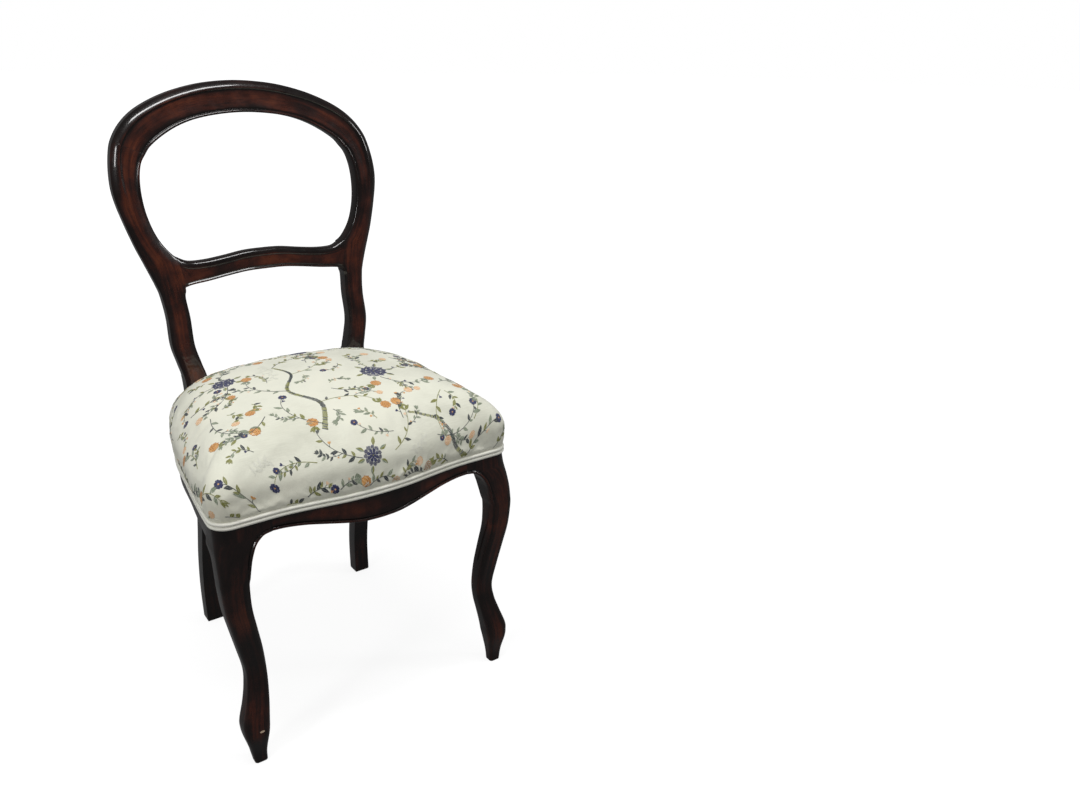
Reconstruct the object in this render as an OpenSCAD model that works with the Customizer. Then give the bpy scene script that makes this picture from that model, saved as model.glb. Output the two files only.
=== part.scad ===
// Balloon back dining chair with cabriole front legs and a stuffed-over, crowned seat.
// Millimetres. +Z is up, the chair faces -Y, and the origin is on the floor under the middle of the chair.

/* [Overall] */
// Height of the top of the crest rail above the floor
chair_h = 900; // [860:1:940]

/* [Seat plan] */
// Width of the seat over its front corners, at the piping
front_w = 452; // [420:1:480]
// Depth of the seat from its front corners to the back edge
seat_d = 354; // [340:1:368]
// How far the middle of the front bows out past the corners
front_bow = 15.5; // [8:0.5:22]
// Radius of the front corners of the seat
corner_r = 26; // [20:1:32]
// Height of the top of the rails
rail_top_h = 400; // [392:1:412]
// How far the ledge under the piping, where the polished wood ends, lies below the top of the rails
ledge_drop = 25.5; // [20:0.5:32]
// How far the polished faces lie inside the piping
wood_inset = 3; // [2:0.5:4]
// Depth of the rebate in which the cover is tacked
rebate_d = 3.8; // [3:0.1:5]
// Thickness of the front rail and of the ears of the front legs
rail_t = 26; // [22:1:28]

/* [Seat rails] */
// Distance from the side of the seat in to the joints of the front rail
ear_w = 76; // [68:1:86]
// Distance from the front line of the seat to the joints of the side rails
side_joint = 52; // [48:0.5:58]
// Depth of the front rail in its middle
front_rail_mid_d = 63; // [57:0.5:69]
// Depth of the front rail at its joints
front_rail_end_d = 44; // [40:0.5:49]
// Depth of the side rails at the front legs
side_rail_front_d = 60; // [54:1:66]
// Depth of the side rails at the back posts
side_rail_back_d = 59; // [53:1:65]
// How far the lower edge of the side rails arches up in its middle
side_edge_arch = 6; // [2:0.5:9]
// Depth of the back rail
back_rail_d = 58; // [50:1:65]
// How far the bead on the front rail stands proud
bead_proud = 1.3; // [0.8:0.1:2]
// Width of the bead on the front rail
bead_w = 4.6; // [3.5:0.1:6]

/* [Front legs] */
// Distance from the side of the seat in to the middle of each toe
toe_inset = 25.5; // [20:0.5:34]
// Distance from the front line of the seat to the middle of each toe
toe_y = 11; // [6:0.5:16]
// How far the leg is drawn in at the ankle
leg_curve = 13; // [8:0.5:17]
// How far the knee lies below the top of the rails
knee_drop = 111; // [100:1:125]
// Half the side of the leg at the knee
knee_half = 19; // [17:0.5:21]

/* [Back posts] */
// Distance from the middle of the chair to the outer face of a post at the seat
post_half = 150; // [146:1:154]
// Width of a post at the seat, seen from the front
post_w = 34; // [31:1:36]
// Thickness of a post at the seat, from front to back
post_t = 34; // [30:1:38]
// How far the square part of a post reaches below the top of the rails
post_block_d = 80; // [74:1:92]
// How far a post stands proud of the back edge of the seat
post_proud = 2; // [1:0.5:4]
// Distance from the middle of the chair to the middle of each back foot
back_foot_half = 142; // [136:1:148]
// Side of a back foot
back_foot_w = 27; // [24:1:30]
// How far the back feet are swept back from the posts
foot_sweep = 55; // [45:1:65]
// How far the crest leans back from the posts
crest_lean = 77; // [65:1:90]

/* [Balloon] */
// Distance from the middle to the outer edge of the waist
waist_half = 161.5; // [156:0.5:166]
// Widest half width of the balloon
balloon_half = 206; // [195:1:215]
// Widest half width of its opening
opening_half = 168.5; // [160:0.5:175]
// Height of the widest place, as a share of the way from the rails to the top of the crest
widest_share = 0.698; // [0.68:0.001:0.72]
// Depth of the crest rail in its middle, seen from the front
crest_d = 45.5; // [41:0.5:51]
// Thickness of the balloon from front to back
balloon_t = 28; // [24:1:32]
// Height of the lower edge of the cross rail at its joints, as a share of the way from the rails to the top
cross_rail_share = 0.412; // [0.39:0.001:0.43]
// Distance from the middle to the joints of the cross rail
cross_joint = 128; // [124:1:130]
// Depth of the cross rail at its joints
cross_joint_d = 42; // [36:1:46]
// Depth of the cross rail in its middle
cross_rail_d = 31; // [27:1:35]
// Rise of the cross rail in its middle
cross_rail_rise = 14; // [9:1:18]
// Thickness of the cross rail from front to back
cross_rail_t = 20; // [17:1:21]

/* [Upholstery] */
// How far the crown of the seat rises above the top of the rails
crown_rise = 97; // [85:1:110]
// How far the cover bulges out past the piping
bulge = 5; // [2:0.5:8]
// Thickness of the cover
cover_t = 1.4; // [1:0.1:2]
// Diameter of each of the two cords of the piping
piping_d = 5.6; // [4.5:0.1:7]
// Width of a webbing strap
strap_w = 50; // [44:1:56]
// Thickness of a webbing strap
strap_t = 1.6; // [1.2:0.1:2]
// Thickness of the hessian
hessian_t = 0.8; // [0.6:0.1:1.2]

/* [Fixings] */
// Diameter of the dowels in the seat frame
rail_dowel_d = 9; // [7:0.5:10]
// Depth of a seat frame dowel on each side of its joint
rail_dowel_reach = 20; // [15:1:22]
// Depth of a back rail dowel on each side of its joint
post_dowel_reach = 10; // [8:0.5:11]
// Diameter of the dowels in the back
back_dowel_d = 7; // [6:0.5:8]
// Depth of a dowel in the back on each side of its joint
back_dowel_reach = 17; // [12:1:19]
// Length of the legs of a corner block
block_leg = 44; // [36:1:48]
// Height of a corner block
block_h = 34; // [28:1:36]
// Diameter of the screws in the corner blocks
screw_d = 4.2; // [3.5:0.1:5]
// Depth of a corner block screw in the rail behind the block
screw_reach = 15; // [11:1:17]
// Diameter of the shank of a webbing tack
tack_d = 1.6; // [1.2:0.1:2]
// Depth of a webbing tack in the rail
tack_reach = 7.5; // [6:0.5:9]

/* [Hidden] */
$fn = 32;

wood = "#4a1c10";
plain_wood = "#b08a5c";
steel = "#9a9a9a";
jute = "#9c7c4c";
cloth = "#e6e2d6";

// Clearance round a dowel, a screw or a tack in its hole
hole_gap = 0.1;
// Clearance between soft pieces and what carries them
soft_gap = 0.3;
// How far a cutter runs past what it cuts
overrun = 10;
// Steps between two rows of a table, for the back, the legs and the front of the seat
back_steps = 3;
leg_steps = 2;
front_steps = 2;

// Helpers on numbers and lists

function between(a, b, share) = a + (b - a) * share;
function unit(v) = v / norm(v);
function backwards(list) = [for (i = [len(list) - 1:-1:0]) list[i]];

// A smooth curve through four neighbouring rows, between the second and the third
function curve(a, b, c, d, t) =
    b + (c - a) * t / 2 + (2 * a - 5 * b + 4 * c - d) * t * t / 2 + (3 * b - a - 3 * c + d) * t * t * t / 2;
function row(rows, i) = rows[min(max(i, 0), len(rows) - 1)];
function smooth(rows, steps) = concat(
    [for (i = [0:len(rows) - 2]) for (k = [0:steps - 1])
        curve(row(rows, i - 1), rows[i], row(rows, i + 1), row(rows, i + 2), k / steps)],
    [rows[len(rows) - 1]]);
// The value at a share of the way along evenly spaced values
function along(values, share) =
    let (place = min(max(share, 0), 1) * (len(values) - 1), i = min(floor(place), len(values) - 2))
    curve(row(values, i - 1), values[i], row(values, i + 1), row(values, i + 2), place - i);

// Points moved outwards by d, on a path that runs anticlockwise round the seat
function moved(points, d, closed = false) = [for (i = [0:len(points) - 1])
    let (n = len(points),
        before = closed ? points[(i + n - 1) % n] : row(points, i - 1),
        after = closed ? points[(i + 1) % n] : row(points, i + 1),
        way = unit(after - before))
    points[i] + d * [way.y, -way.x]];

// Triangles between neighbouring rings, and a fan from the middle of a ring
function skin(m, n) = [for (k = [0:n - 2]) for (j = [0:m - 1])
    let (a = k * m + j, b = k * m + (j + 1) % m)
    each [[a, b, b + m], [a, b + m, a + m]]];
function fan(first, m, middle) = [for (j = [0:m - 1]) [first + j, first + (j + 1) % m, middle]];
function turned(faces) = [for (f = faces) backwards(f)];
function mean(points) = [for (p = points) 1 / len(points)] * points;

// A solid through rings of points, each clockwise as seen from the far end, with its ends closed by fans
module loft(rings) {
    m = len(rings[0]);
    n = len(rings);
    middles = [mean(rings[0]), mean(rings[n - 1])];
    polyhedron(
        concat([for (ring = rings) each ring], middles),
        concat(turned(fan(0, m, n * m)), skin(m, n), fan((n - 1) * m, m, n * m + 1)),
        convexity = 8);
}

// A rod with round ends faces, from one point along a direction
module rod(start, way, length, d) {
    turn = [0, acos(way.z / norm(way)), atan2(way.y, way.x)];
    translate(start) rotate(turn) cylinder(d = d, h = length);
}

module both_sides() {
    children();
    mirror([1, 0, 0]) children();
}

// Heights that follow the top of the rails

ledge_h = rail_top_h - ledge_drop;
front_edge_mid_h = rail_top_h - front_rail_mid_d;
front_edge_end_h = rail_top_h - front_rail_end_d;
side_edge_front_h = rail_top_h - side_rail_front_d;
side_edge_back_h = rail_top_h - side_rail_back_d;
back_edge_h = rail_top_h - back_rail_d;
knee_h = rail_top_h - knee_drop;
post_block_h = rail_top_h - post_block_d;
cross_rail_h = between(rail_top_h, chair_h, cross_rail_share);
widest_h = between(rail_top_h, chair_h, widest_share);
crown_h = rail_top_h + crown_rise;

// Seat plan, with y counted from the line of the front corners

front_half = front_w / 2;
front_joint = front_half - ear_w;
toe_half = front_half - toe_inset;
back_y = seat_d;
post_back_y = back_y + post_proud;
post_front_y = post_back_y - post_t;
post_y = post_back_y - post_t / 2;
post_in = post_half - post_w;
seat_reach = front_bow + bulge;
crest_y = post_y + crest_lean + balloon_t / 2;
// The middle of the whole depth, which the origin stands under
centre_y = (crest_y - seat_reach) / 2;

// Front edge from the middle to the joint: share of the half length, of the bow and of the rise of its edge
front_shares = [
    [0, 1, 0], [0.17, 0.95, 0.05], [0.33, 0.82, 0.25], [0.53, 0.51, 0.55], [0.7, 0.25, 0.8], [0.87, 0.06, 0.96],
    [1, 0, 1]
];
front_rows = [for (s = front_shares) [
    front_joint * s[0],
    -front_bow * s[1],
    between(front_edge_mid_h, front_edge_end_h, s[2])
]];
// Side edge from the joint to the post: share of its length, of the narrowing of the seat
side_shares = [
    [0, 0.02], [0.212, 0.1], [0.358, 0.17], [0.55, 0.25], [0.689, 0.355], [0.831, 0.51], [0.914, 0.66],
    [0.965, 0.79], [1, 1]
];
side_rows = [for (s = side_shares) [
    between(front_half, post_half, s[1]),
    between(side_joint, back_y, s[0])
]];
corner_arc = [for (a = [-90:22.5:0]) [
    front_half - corner_r + corner_r * cos(a),
    corner_r + corner_r * sin(a)
]];
// The right half of the edge of the seat at the piping, from the middle of the front to the post
half_edge = concat(
    [for (p = smooth(front_rows, front_steps)) [p.x, p.y]],
    corner_arc,
    side_rows);
// The edge from post to post round the front, and the whole closed edge
open_edge = concat(backwards([for (i = [1:len(half_edge) - 1]) [-half_edge[i].x, half_edge[i].y]]), half_edge);
back_edge_shares = [0.75, 0.25, -0.25, -0.75];
back_edge_points = [for (s = back_edge_shares) [post_half * s, back_y]];
closed_edge = concat(open_edge, back_edge_points);

tack_inset = wood_inset + rebate_d;
inner_y = wood_inset + rail_t;
inner_x = front_half - wood_inset - rail_t;

module plan_prism(inset, low, high) {
    translate([0, 0, low]) linear_extrude(high - low) polygon(moved(closed_edge, -inset, true));
}

// Everything outside the rebate, above the ledge
module rebate_cut() {
    size = front_w + seat_d;
    translate([0, 0, ledge_h]) linear_extrude(rail_top_h - ledge_h + overrun) difference() {
        translate([-size / 2, -size / 2 + seat_d / 2]) square(size);
        polygon(moved(closed_edge, -tack_inset, true));
    }
}

// Front legs

// Share of the knee height, of the curve sideways and to the back, and of the side at the knee
leg_shares = [
    [0, -0.08, -0.06, 0.48], [0.042, -0.02, 0, 0.54], [0.083, 0, 0, 0.63], [0.156, 0.06, -0.03, 0.86],
    [0.197, 0.05, 0.05, 0.95], [0.242, -0.03, 0.15, 0.97], [0.325, -0.46, 0.47, 0.87],
    [0.408, -0.82, 0.92, 0.79], [0.495, -0.92, 1.13, 0.76], [0.62, -0.56, 0.93, 0.85], [0.747, -0.06, 0.58, 0.9],
    [0.875, 0.42, 0.2, 0.94], [1, 0.56, 0.05, 1]
];
// Corner radius as a share of the half side, and depth behind the middle of the leg as a share of it
leg_round_share = 0.5;
leg_back_share = 0.9;
// Rows hold height, outer x, inner x, front y, back y, corner radius and how far the ears have grown
leg_rows = [for (s = leg_shares)
    let (x = toe_half + leg_curve * s[1], y = toe_y + leg_curve * s[2], half = knee_half * s[3])
    [knee_h * s[0], x + half, x - half, y - half, y + half * leg_back_share, half * leg_round_share, 0]];
knee = leg_rows[len(leg_rows) - 1];
block = [
    ledge_h, front_half - wood_inset, front_joint, wood_inset, side_joint, corner_r - wood_inset, 1
];
// Share of the height up to the side joint and then up to the front joint, and of each growth to the block
ear_shares = [
    [0.26, -0.04, 0.05, -0.015, 0.03, 0.12, 0.2], [0.55, 0.01, 0.11, 0.05, 0.1, 0.27, 0.5],
    [0.79, 0.17, 0.18, 0.2, 0.3, 0.45, 0.8], [1, 0.36, 0.29, 0.4, 1, 0.63, 1],
    [1.4, 0.55, 0.405, 0.66, 1, 0.76, 1], [1.71, 0.68, 0.56, 0.82, 1, 0.85, 1],
    [1.9, 0.75, 0.72, 0.89, 1, 0.9, 1], [2, 0.78, 1, 0.93, 1, 0.92, 1], [2.25, 0.83, 1, 0.95, 1, 0.94, 1]
];
function ear_height(share) = share <= 1
    ? between(knee_h, side_edge_front_h, share)
    : between(side_edge_front_h, front_edge_end_h, share - 1);
ear_rows = [for (s = ear_shares) concat(
    [ear_height(s[0])],
    [for (i = [1:6]) between(knee[i], block[i], s[i])])];
top_row = concat([rail_top_h], [for (i = [1:6]) block[i]]);
leg_table = concat(smooth(concat(leg_rows, ear_rows, [block]), leg_steps), [top_row]);

function arc(x, y, r, from, to, count) = [for (i = [0:count - 1])
    let (a = between(from, to, i / (count - 1))) [x + r * cos(a), y + r * sin(a)]];
// Corners at the ears keep a small radius
ear_r = 0.6;
// How far the seat narrows along the ear of a leg
ear_taper = front_half - side_rows[0].x;
// One ring of a front leg, clockwise from above: inner front, inner back, outer back, outer front
function leg_ring(r) =
    let (x_out = r[1], x_in = max(r[2], front_joint), y_front = r[3], y_back = min(r[4], side_joint),
        ear = r[6], radius = r[5],
        small = between(leg_round_share * (x_out - x_in) / 2, ear_r, ear),
        x_back = x_out - ear_taper * ear,
        round_back = arc(x_in + small, y_back - small, small, 180, 90, 4),
        ear_back = [[x_in, inner_y], [inner_x - ear_r, inner_y], [inner_x, inner_y + ear_r], [inner_x, y_back]],
        inner = [for (i = [0:3]) between(round_back[i], ear_back[i], ear)],
        points = concat(
            arc(x_in + small, y_front + small, small, 270, 180, 3),
            inner,
            arc(x_back - small, y_back - small, small, 90, 0, 4),
            arc(x_out - radius, y_front + radius, radius, 0, -90, 6)))
    [for (p = points) [p.x, p.y, r[0]]];

module right_leg_shape() {
    difference() {
        loft([for (r = leg_table) leg_ring(r)]);
        rebate_cut();
        right_rail_dowels(hole_gap);
        front_block_screws(hole_gap);
    }
}

module right_front_leg() {
    color(wood) translate([0, -centre_y, 0]) right_leg_shape();
}

module left_front_leg() {
    color(wood) translate([0, -centre_y, 0]) mirror([1, 0, 0]) right_leg_shape();
}

// Seat rails

// Front rail section, clockwise from the right: back, lower face, bead, groove, polished face and rebate
function front_rail_ring(x, edge_y, low) =
    let (face = edge_y + wood_inset, tack = edge_y + tack_inset)
    [for (p = [
        [inner_y, low + bead_proud],
        [face + bead_w / 2, low],
        [face - bead_proud * 0.3, low],
        [face - bead_proud, low + bead_w * 0.25],
        [face - bead_proud, low + bead_w * 0.7],
        [face + bead_proud * 0.3, low + bead_w],
        [face, low + bead_w * 1.4],
        [face, ledge_h],
        [tack, ledge_h],
        [tack, rail_top_h],
        [inner_y, rail_top_h]
    ]) [x, p.x, p.y]];
front_rail_rows = smooth(front_rows, front_steps);

module front_seat_rail() {
    rings = concat(
        [for (r = backwards(front_rail_rows)) front_rail_ring(-r[0], r[1], r[2])],
        [for (i = [1:len(front_rail_rows) - 1])
            let (r = front_rail_rows[i]) front_rail_ring(r[0], r[1], r[2])]);
    color(wood) translate([0, -centre_y, 0]) difference() {
        loft(rings);
        both_sides() right_rail_dowels(hole_gap);
        all_tacks(hole_gap);
    }
}

// The inner face of a side rail runs on from the ear past the corner block, and then slants to the post
side_seat = post_in + post_w * 0.35;
block_end = inner_y + block_leg;
// Share of the arch of the lower edge along the side rail, evenly spaced
side_arch_shares = [0, 0.44, 0.75, 0.94, 1, 0.94, 0.75, 0.44, 0];

// Where the lip outside the post ends
lip_end = back_y - post_t * 0.27;

// The plan of a side rail at a depth inside the piping, before the post is let in
module right_rail_plan(inset) {
    outer = moved(concat([corner_arc[len(corner_arc) - 1]], smooth(side_rows, front_steps)), -inset);
    intersection() {
        polygon(concat(outer, [[side_seat, back_y - wood_inset - tack_inset], [side_seat, post_front_y],
            [inner_x, block_end], [inner_x, corner_r]]));
        translate([0, side_joint]) square([front_w, lip_end - side_joint]);
    }
}

module right_rail_shape() {
    length = lip_end - side_joint;
    n = len(side_arch_shares) - 1;
    edge = [for (i = [0:n]) [
        side_joint + length * i / n,
        between(side_edge_front_h, side_edge_back_h, i / n) + side_edge_arch * side_arch_shares[i]
    ]];
    difference() {
        union() {
            linear_extrude(ledge_h) right_rail_plan(wood_inset);
            linear_extrude(rail_top_h) right_rail_plan(tack_inset);
        }
        rotate([90, 0, 90]) linear_extrude(front_w)
            polygon(concat(edge, [[lip_end + overrun, side_edge_back_h], [lip_end + overrun, -overrun],
                [side_joint - overrun, -overrun], [side_joint - overrun, side_edge_front_h]]));
        translate([0, post_front_y, 0]) cube([post_half, post_t, chair_h]);
    }
}

module right_rail_cut() {
    difference() {
        right_rail_shape();
        right_rail_dowels(hole_gap);
        all_tacks(hole_gap);
        back_block_screws(hole_gap);
    }
}

module right_seat_rail() {
    color(wood) translate([0, -centre_y, 0]) right_rail_cut();
}

module left_seat_rail() {
    color(wood) translate([0, -centre_y, 0]) mirror([1, 0, 0]) right_rail_cut();
}

module back_seat_rail() {
    face = back_y - wood_inset;
    tack = back_y - tack_inset;
    color(wood) translate([0, -centre_y, 0]) difference() {
        translate([-post_in, 0, 0]) rotate([90, 0, 90]) linear_extrude(2 * post_in) polygon([
            [post_front_y, back_edge_h], [face, back_edge_h], [face, ledge_h], [tack, ledge_h],
            [tack, rail_top_h], [post_front_y, rail_top_h]
        ]);
        both_sides() right_back_dowels(hole_gap);
        all_tacks(hole_gap);
        both_sides() back_block_screws(hole_gap);
    }
}

// Back posts, crest rail and cross rail

// Share of the lean of the back at even steps up from the rails, and of the sweep of the foot down from the post
lean_shares = [0, 0.067, 0.145, 0.275, 0.347, 0.445, 0.576, 0.765, 1];
sweep_shares = [1, 0.97, 0.75, 0.4, 0.12, 0];
function lean_y(z) = z < post_block_h
    ? post_y + foot_sweep * along(sweep_shares, z / post_block_h)
    : z < rail_top_h
    ? post_y
    : post_y + crest_lean * along(lean_shares, (z - rail_top_h) / (chair_h - rail_top_h));

// Sections: shares across from the outer to the inner edge, and of the thickness from the middle, front first
square_shares = [
    [0, 0.48], [0, -0.48], [0.01, -0.49], [0.02, -0.5], [0.2, -0.5], [0.35, -0.5], [0.5, -0.5], [0.7, -0.5],
    [0.85, -0.5], [0.98, -0.5], [0.99, -0.49], [1, -0.48], [1, 0.48], [0.98, 0.5], [0.5, 0.5], [0.02, 0.5]
];
round_shares = [
    [0, 0.3], [0, -0.16], [0.05, -0.33], [0.15, -0.42], [0.27, -0.46], [0.38, -0.485], [0.5, -0.5], [0.64, -0.485],
    [0.77, -0.45], [0.88, -0.38], [0.96, -0.28], [1, -0.14], [1, 0.3], [0.9, 0.45], [0.5, 0.5], [0.1, 0.45]
];
moulded_shares = [
    [0, 0.24], [0, -0.2], [0.04, -0.35], [0.13, -0.46], [0.24, -0.5], [0.29, -0.46], [0.36, -0.42], [0.52, -0.38],
    [0.7, -0.37], [0.84, -0.39], [0.92, -0.46], [1, -0.38], [1, 0.36], [0.93, 0.47], [0.5, 0.5], [0.08, 0.44]
];
// Form 0 is square, 1 is round and 2 is moulded
function section(form) = [for (i = [0:len(square_shares) - 1])
    form < 1
        ? between(square_shares[i], round_shares[i], max(form, 0))
        : between(round_shares[i], moulded_shares[i], min(form, 2) - 1)];

// Rows hold outer x and z, inner x and z, thickness and form
function back_ring(r) = [for (s = section(r[5]))
    let (z = between(r[1], r[3], s[0]))
    [between(r[0], r[2], s[0]), lean_y(z) + s[1] * r[4], z]];

// Back leg: share of the height of the square part, and of the growth from the foot to the post
back_leg_shares = [[0, 0, 0.75], [0.17, 0, 0.75], [0.34, 0.03, 0.7], [0.5, 0.1, 0.6], [0.68, 0.3, 0.5],
    [0.84, 0.65, 0.3], [1, 1, 0]];
back_leg_rows = [for (s = back_leg_shares)
    let (x = between(back_foot_half, post_half - post_w / 2, s[1]),
        half = between(back_foot_w, post_w, s[1]) / 2,
        z = post_block_h * s[0])
    [x + half, z, x - half, z, between(back_foot_w, post_t, s[1]), s[2]]];
block_row = [post_half, rail_top_h, post_in, rail_top_h, post_t, 0];
// Upright from the rails to the cross rail: share of the height, of the way out to the waist, of the post width,
// and form
upright_shares = [[0.194, 0, 1, 0.9], [0.33, 0.13, 0.97, 1], [0.437, 0.55, 0.95, 1], [0.583, 1.05, 0.95, 1],
    [0.777, 1, 0.94, 1], [0.932, 1.13, 0.97, 1.05]];
upright_rows = [for (s = upright_shares)
    let (x = between(post_half, waist_half, s[1]) - post_w / 2, half = post_w * s[2] / 2,
        z = between(rail_top_h, cross_rail_h, s[0]))
    [x + half, z, x - half, z, between(post_t, balloon_t, min(1, s[0] / upright_shares[3][0])), s[3]]];
joint_top_h = cross_rail_h + cross_joint_d;
// Height shares run from the cross rail's joint to the widest place up to 1, and on to the top up to 2
function rise(share, top) = share <= 1 ? between(joint_top_h, widest_h, share) : between(widest_h, top, share - 1);
// Side of the balloon: shares of the outer half width and height and of the inner half width and height, and form
side_of_balloon_shares = [
    [0.562, 0.188, 0.259, 0.074, 1.1], [0.719, 0.366, 0.58, 0.2475, 1.15], [0.854, 0.584, 0.802, 0.45, 1.25],
    [0.966, 0.832, 0.951, 0.703, 1.4], [1, 1.026, 1, 0.96, 1.65], [0.973, 1.179, 0.963, 1.183, 1.85],
    [0.878, 1.338, 0.84, 1.365, 2], [0.73, 1.466, 0.64, 1.482, 2]
];
opening_top_h = chair_h - crest_d;
side_of_balloon_rows = [for (s = side_of_balloon_shares) [
    between(waist_half, balloon_half, s[0]), rise(s[1], chair_h),
    between(cross_joint, opening_half, s[2]), rise(s[3], opening_top_h),
    balloon_t, s[4]
]];
joint_rows = [
    [between(waist_half, balloon_half, 0.157), between(cross_rail_h, joint_top_h, 0.1),
        cross_joint, cross_rail_h, balloon_t, 1.1],
    [between(waist_half, balloon_half, 0.382), between(joint_top_h, widest_h, 0.02),
        cross_joint, joint_top_h, balloon_t, 1.1]
];
// Crest from the shoulder to the middle: shares of the outer half width and height, and of the inner ones
crest_shares = [
    [0.882, 1.608, 0.857, 1.588], [0.77, 1.718, 0.742, 1.718], [0.626, 1.823, 0.599, 1.837],
    [0.459, 1.911, 0.437, 1.922], [0.243, 1.976, 0.231, 1.978], [0, 2, 0, 2]
];
crest_rows = [for (s = crest_shares) [
    balloon_half * s[0], rise(s[1], chair_h), opening_half * s[2], rise(s[3], opening_top_h), balloon_t, 2
]];
right_rows = concat([block_row], upright_rows, joint_rows, side_of_balloon_rows, crest_rows);
left_rows = [for (i = [len(right_rows) - 2:-1:0])
    let (r = right_rows[i]) [-r[0], r[1], -r[2], r[3], r[4], r[5]]];
back_table = smooth(concat(right_rows, left_rows), back_steps);
// Places in that table: the joint of the cross rail and the joint of the crest at the shoulder
cross_place = (1 + len(upright_rows)) * back_steps;
shoulder_place = (len(right_rows) - len(crest_rows) - 1) * back_steps;
shoulder = back_table[shoulder_place];
// The stretch of the inner face that the cross rail meets is flat
upright_table = [for (i = [0:shoulder_place])
    let (r = back_table[i])
    i >= cross_place && i <= cross_place + back_steps
        ? [r[0], r[1], cross_joint, r[3], r[4], r[5]]
        : r];
crest_table = [for (i = [shoulder_place:len(back_table) - 1 - shoulder_place]) back_table[i]];

module right_post_shape() {
    rings = [for (r = concat(smooth(back_leg_rows, back_steps), upright_table)) back_ring(r)];
    difference() {
        loft(rings);
        right_rail_dowels(hole_gap);
        right_back_dowels(hole_gap);
        right_cross_dowels(hole_gap);
        right_crest_dowels(hole_gap);
    }
}

module right_back_post() {
    color(wood) translate([0, -centre_y, 0]) right_post_shape();
}

module left_back_post() {
    color(wood) translate([0, -centre_y, 0]) mirror([1, 0, 0]) right_post_shape();
}

module crest_rail() {
    color(wood) translate([0, -centre_y, 0]) difference() {
        loft([for (r = crest_table) back_ring(r)]);
        both_sides() right_crest_dowels(hole_gap);
    }
}

// Cross rail: shares of its half length, of its rise, and of the growth in depth towards the joint
cross_shares = [[0, 1, 0], [0.234, 0.96, -0.03], [0.469, 0.71, -0.1], [0.703, 0.39, 0], [0.898, 0.19, 0.27],
    [1, 0, 1]];
cross_half_rows = [for (s = cross_shares)
    let (low = cross_rail_h + cross_rail_rise * s[1])
    [cross_joint * s[0], low, low + between(cross_rail_d, cross_joint_d, s[2])]];
cross_rows = concat(
    backwards([for (r = cross_half_rows) [-r[0], r[1], r[2]]]),
    [for (i = [1:len(cross_half_rows) - 1]) cross_half_rows[i]]);
// Section from the lower edge to the upper one: a bead, a groove, a flat face, a ridge and a round band
cross_section_shares = [
    [0, 0.44], [0, -0.34], [0.03, -0.44], [0.1, -0.45], [0.14, -0.36], [0.2, -0.42], [0.45, -0.46], [0.7, -0.45],
    [0.73, -0.5], [0.82, -0.46], [0.93, -0.34], [1, -0.14], [1, 0.44], [0.94, 0.5], [0.06, 0.5]
];

module cross_rail() {
    rings = [for (r = smooth(cross_rows, back_steps)) [for (s = cross_section_shares)
        let (z = between(r[1], r[2], s[0])) [r[0], lean_y(z) + cross_rail_t * s[1], z]]];
    color(wood) translate([0, -centre_y, 0]) difference() {
        loft(rings);
        both_sides() right_cross_dowels(hole_gap);
    }
}

// Dowels, given with a gap for the holes they fit in

// Places of the dowels as shares of the depth of the joint
dowel_shares = [0.28, 0.74];
front_dowel_y = wood_inset + rail_t * 0.55;
side_dowel_x = (inner_x + front_half - tack_inset) / 2;
post_dowel_x = between(side_seat, post_half, 0.48);
back_dowel_y = (post_front_y + back_y - tack_inset) / 2;

// A dowel centred on its joint, with the depth on each side
module dowel(joint, way, near, far, d, gap) {
    back = unit(way) * (near + gap);
    rod(joint - back, way, near + far + 2 * gap, d + 2 * gap);
}

module right_front_dowels(gap = 0) {
    for (s = dowel_shares) {
        z = between(front_edge_end_h, rail_top_h, s);
        dowel([front_joint, front_dowel_y, z], [1, 0, 0], rail_dowel_reach, rail_dowel_reach, rail_dowel_d, gap);
    }
}

module right_side_dowels(gap = 0) {
    for (s = dowel_shares) {
        front_z = between(side_edge_front_h, rail_top_h, s);
        back_z = between(side_edge_back_h, rail_top_h, s);
        dowel([side_dowel_x, side_joint, front_z], [0, 1, 0], rail_dowel_reach, rail_dowel_reach, rail_dowel_d, gap);
        dowel([post_dowel_x, post_front_y, back_z], [0, 1, 0], rail_dowel_reach, rail_dowel_reach, rail_dowel_d, gap);
    }
}

module right_rail_dowels(gap = 0) {
    right_front_dowels(gap);
    right_side_dowels(gap);
}

module right_back_dowels(gap = 0) {
    for (s = dowel_shares) {
        z = between(back_edge_h, rail_top_h, s);
        dowel([post_in, back_dowel_y, z], [1, 0, 0], post_dowel_reach, post_dowel_reach, rail_dowel_d, gap);
    }
}

module right_cross_dowels(gap = 0) {
    for (s = dowel_shares) {
        z = cross_rail_h + cross_joint_d * s;
        dowel([cross_joint, lean_y(z), z], [1, 0, 0], back_dowel_reach, back_dowel_reach, back_dowel_d, gap);
    }
}

module right_crest_dowels(gap = 0) {
    across = [shoulder[2] - shoulder[0], 0, shoulder[3] - shoulder[1]];
    way = [across.z, 0, -across.x];
    for (s = dowel_shares) {
        spot = [shoulder[0], 0, shoulder[1]] + across * s;
        dowel([spot.x, lean_y(spot.z), spot.z], way, back_dowel_reach, back_dowel_reach, back_dowel_d, gap);
    }
}

module crest_dowels() {
    color(plain_wood) translate([0, -centre_y, 0]) both_sides() right_crest_dowels();
}

module cross_rail_dowels() {
    color(plain_wood) translate([0, -centre_y, 0]) both_sides() right_cross_dowels();
}

module front_rail_dowels() {
    color(plain_wood) translate([0, -centre_y, 0]) both_sides() right_front_dowels();
}

module side_rail_dowels() {
    color(plain_wood) translate([0, -centre_y, 0]) both_sides() right_side_dowels();
}

module back_rail_dowels() {
    color(plain_wood) translate([0, -centre_y, 0]) both_sides() right_back_dowels();
}

// Corner blocks and their screws

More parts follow.
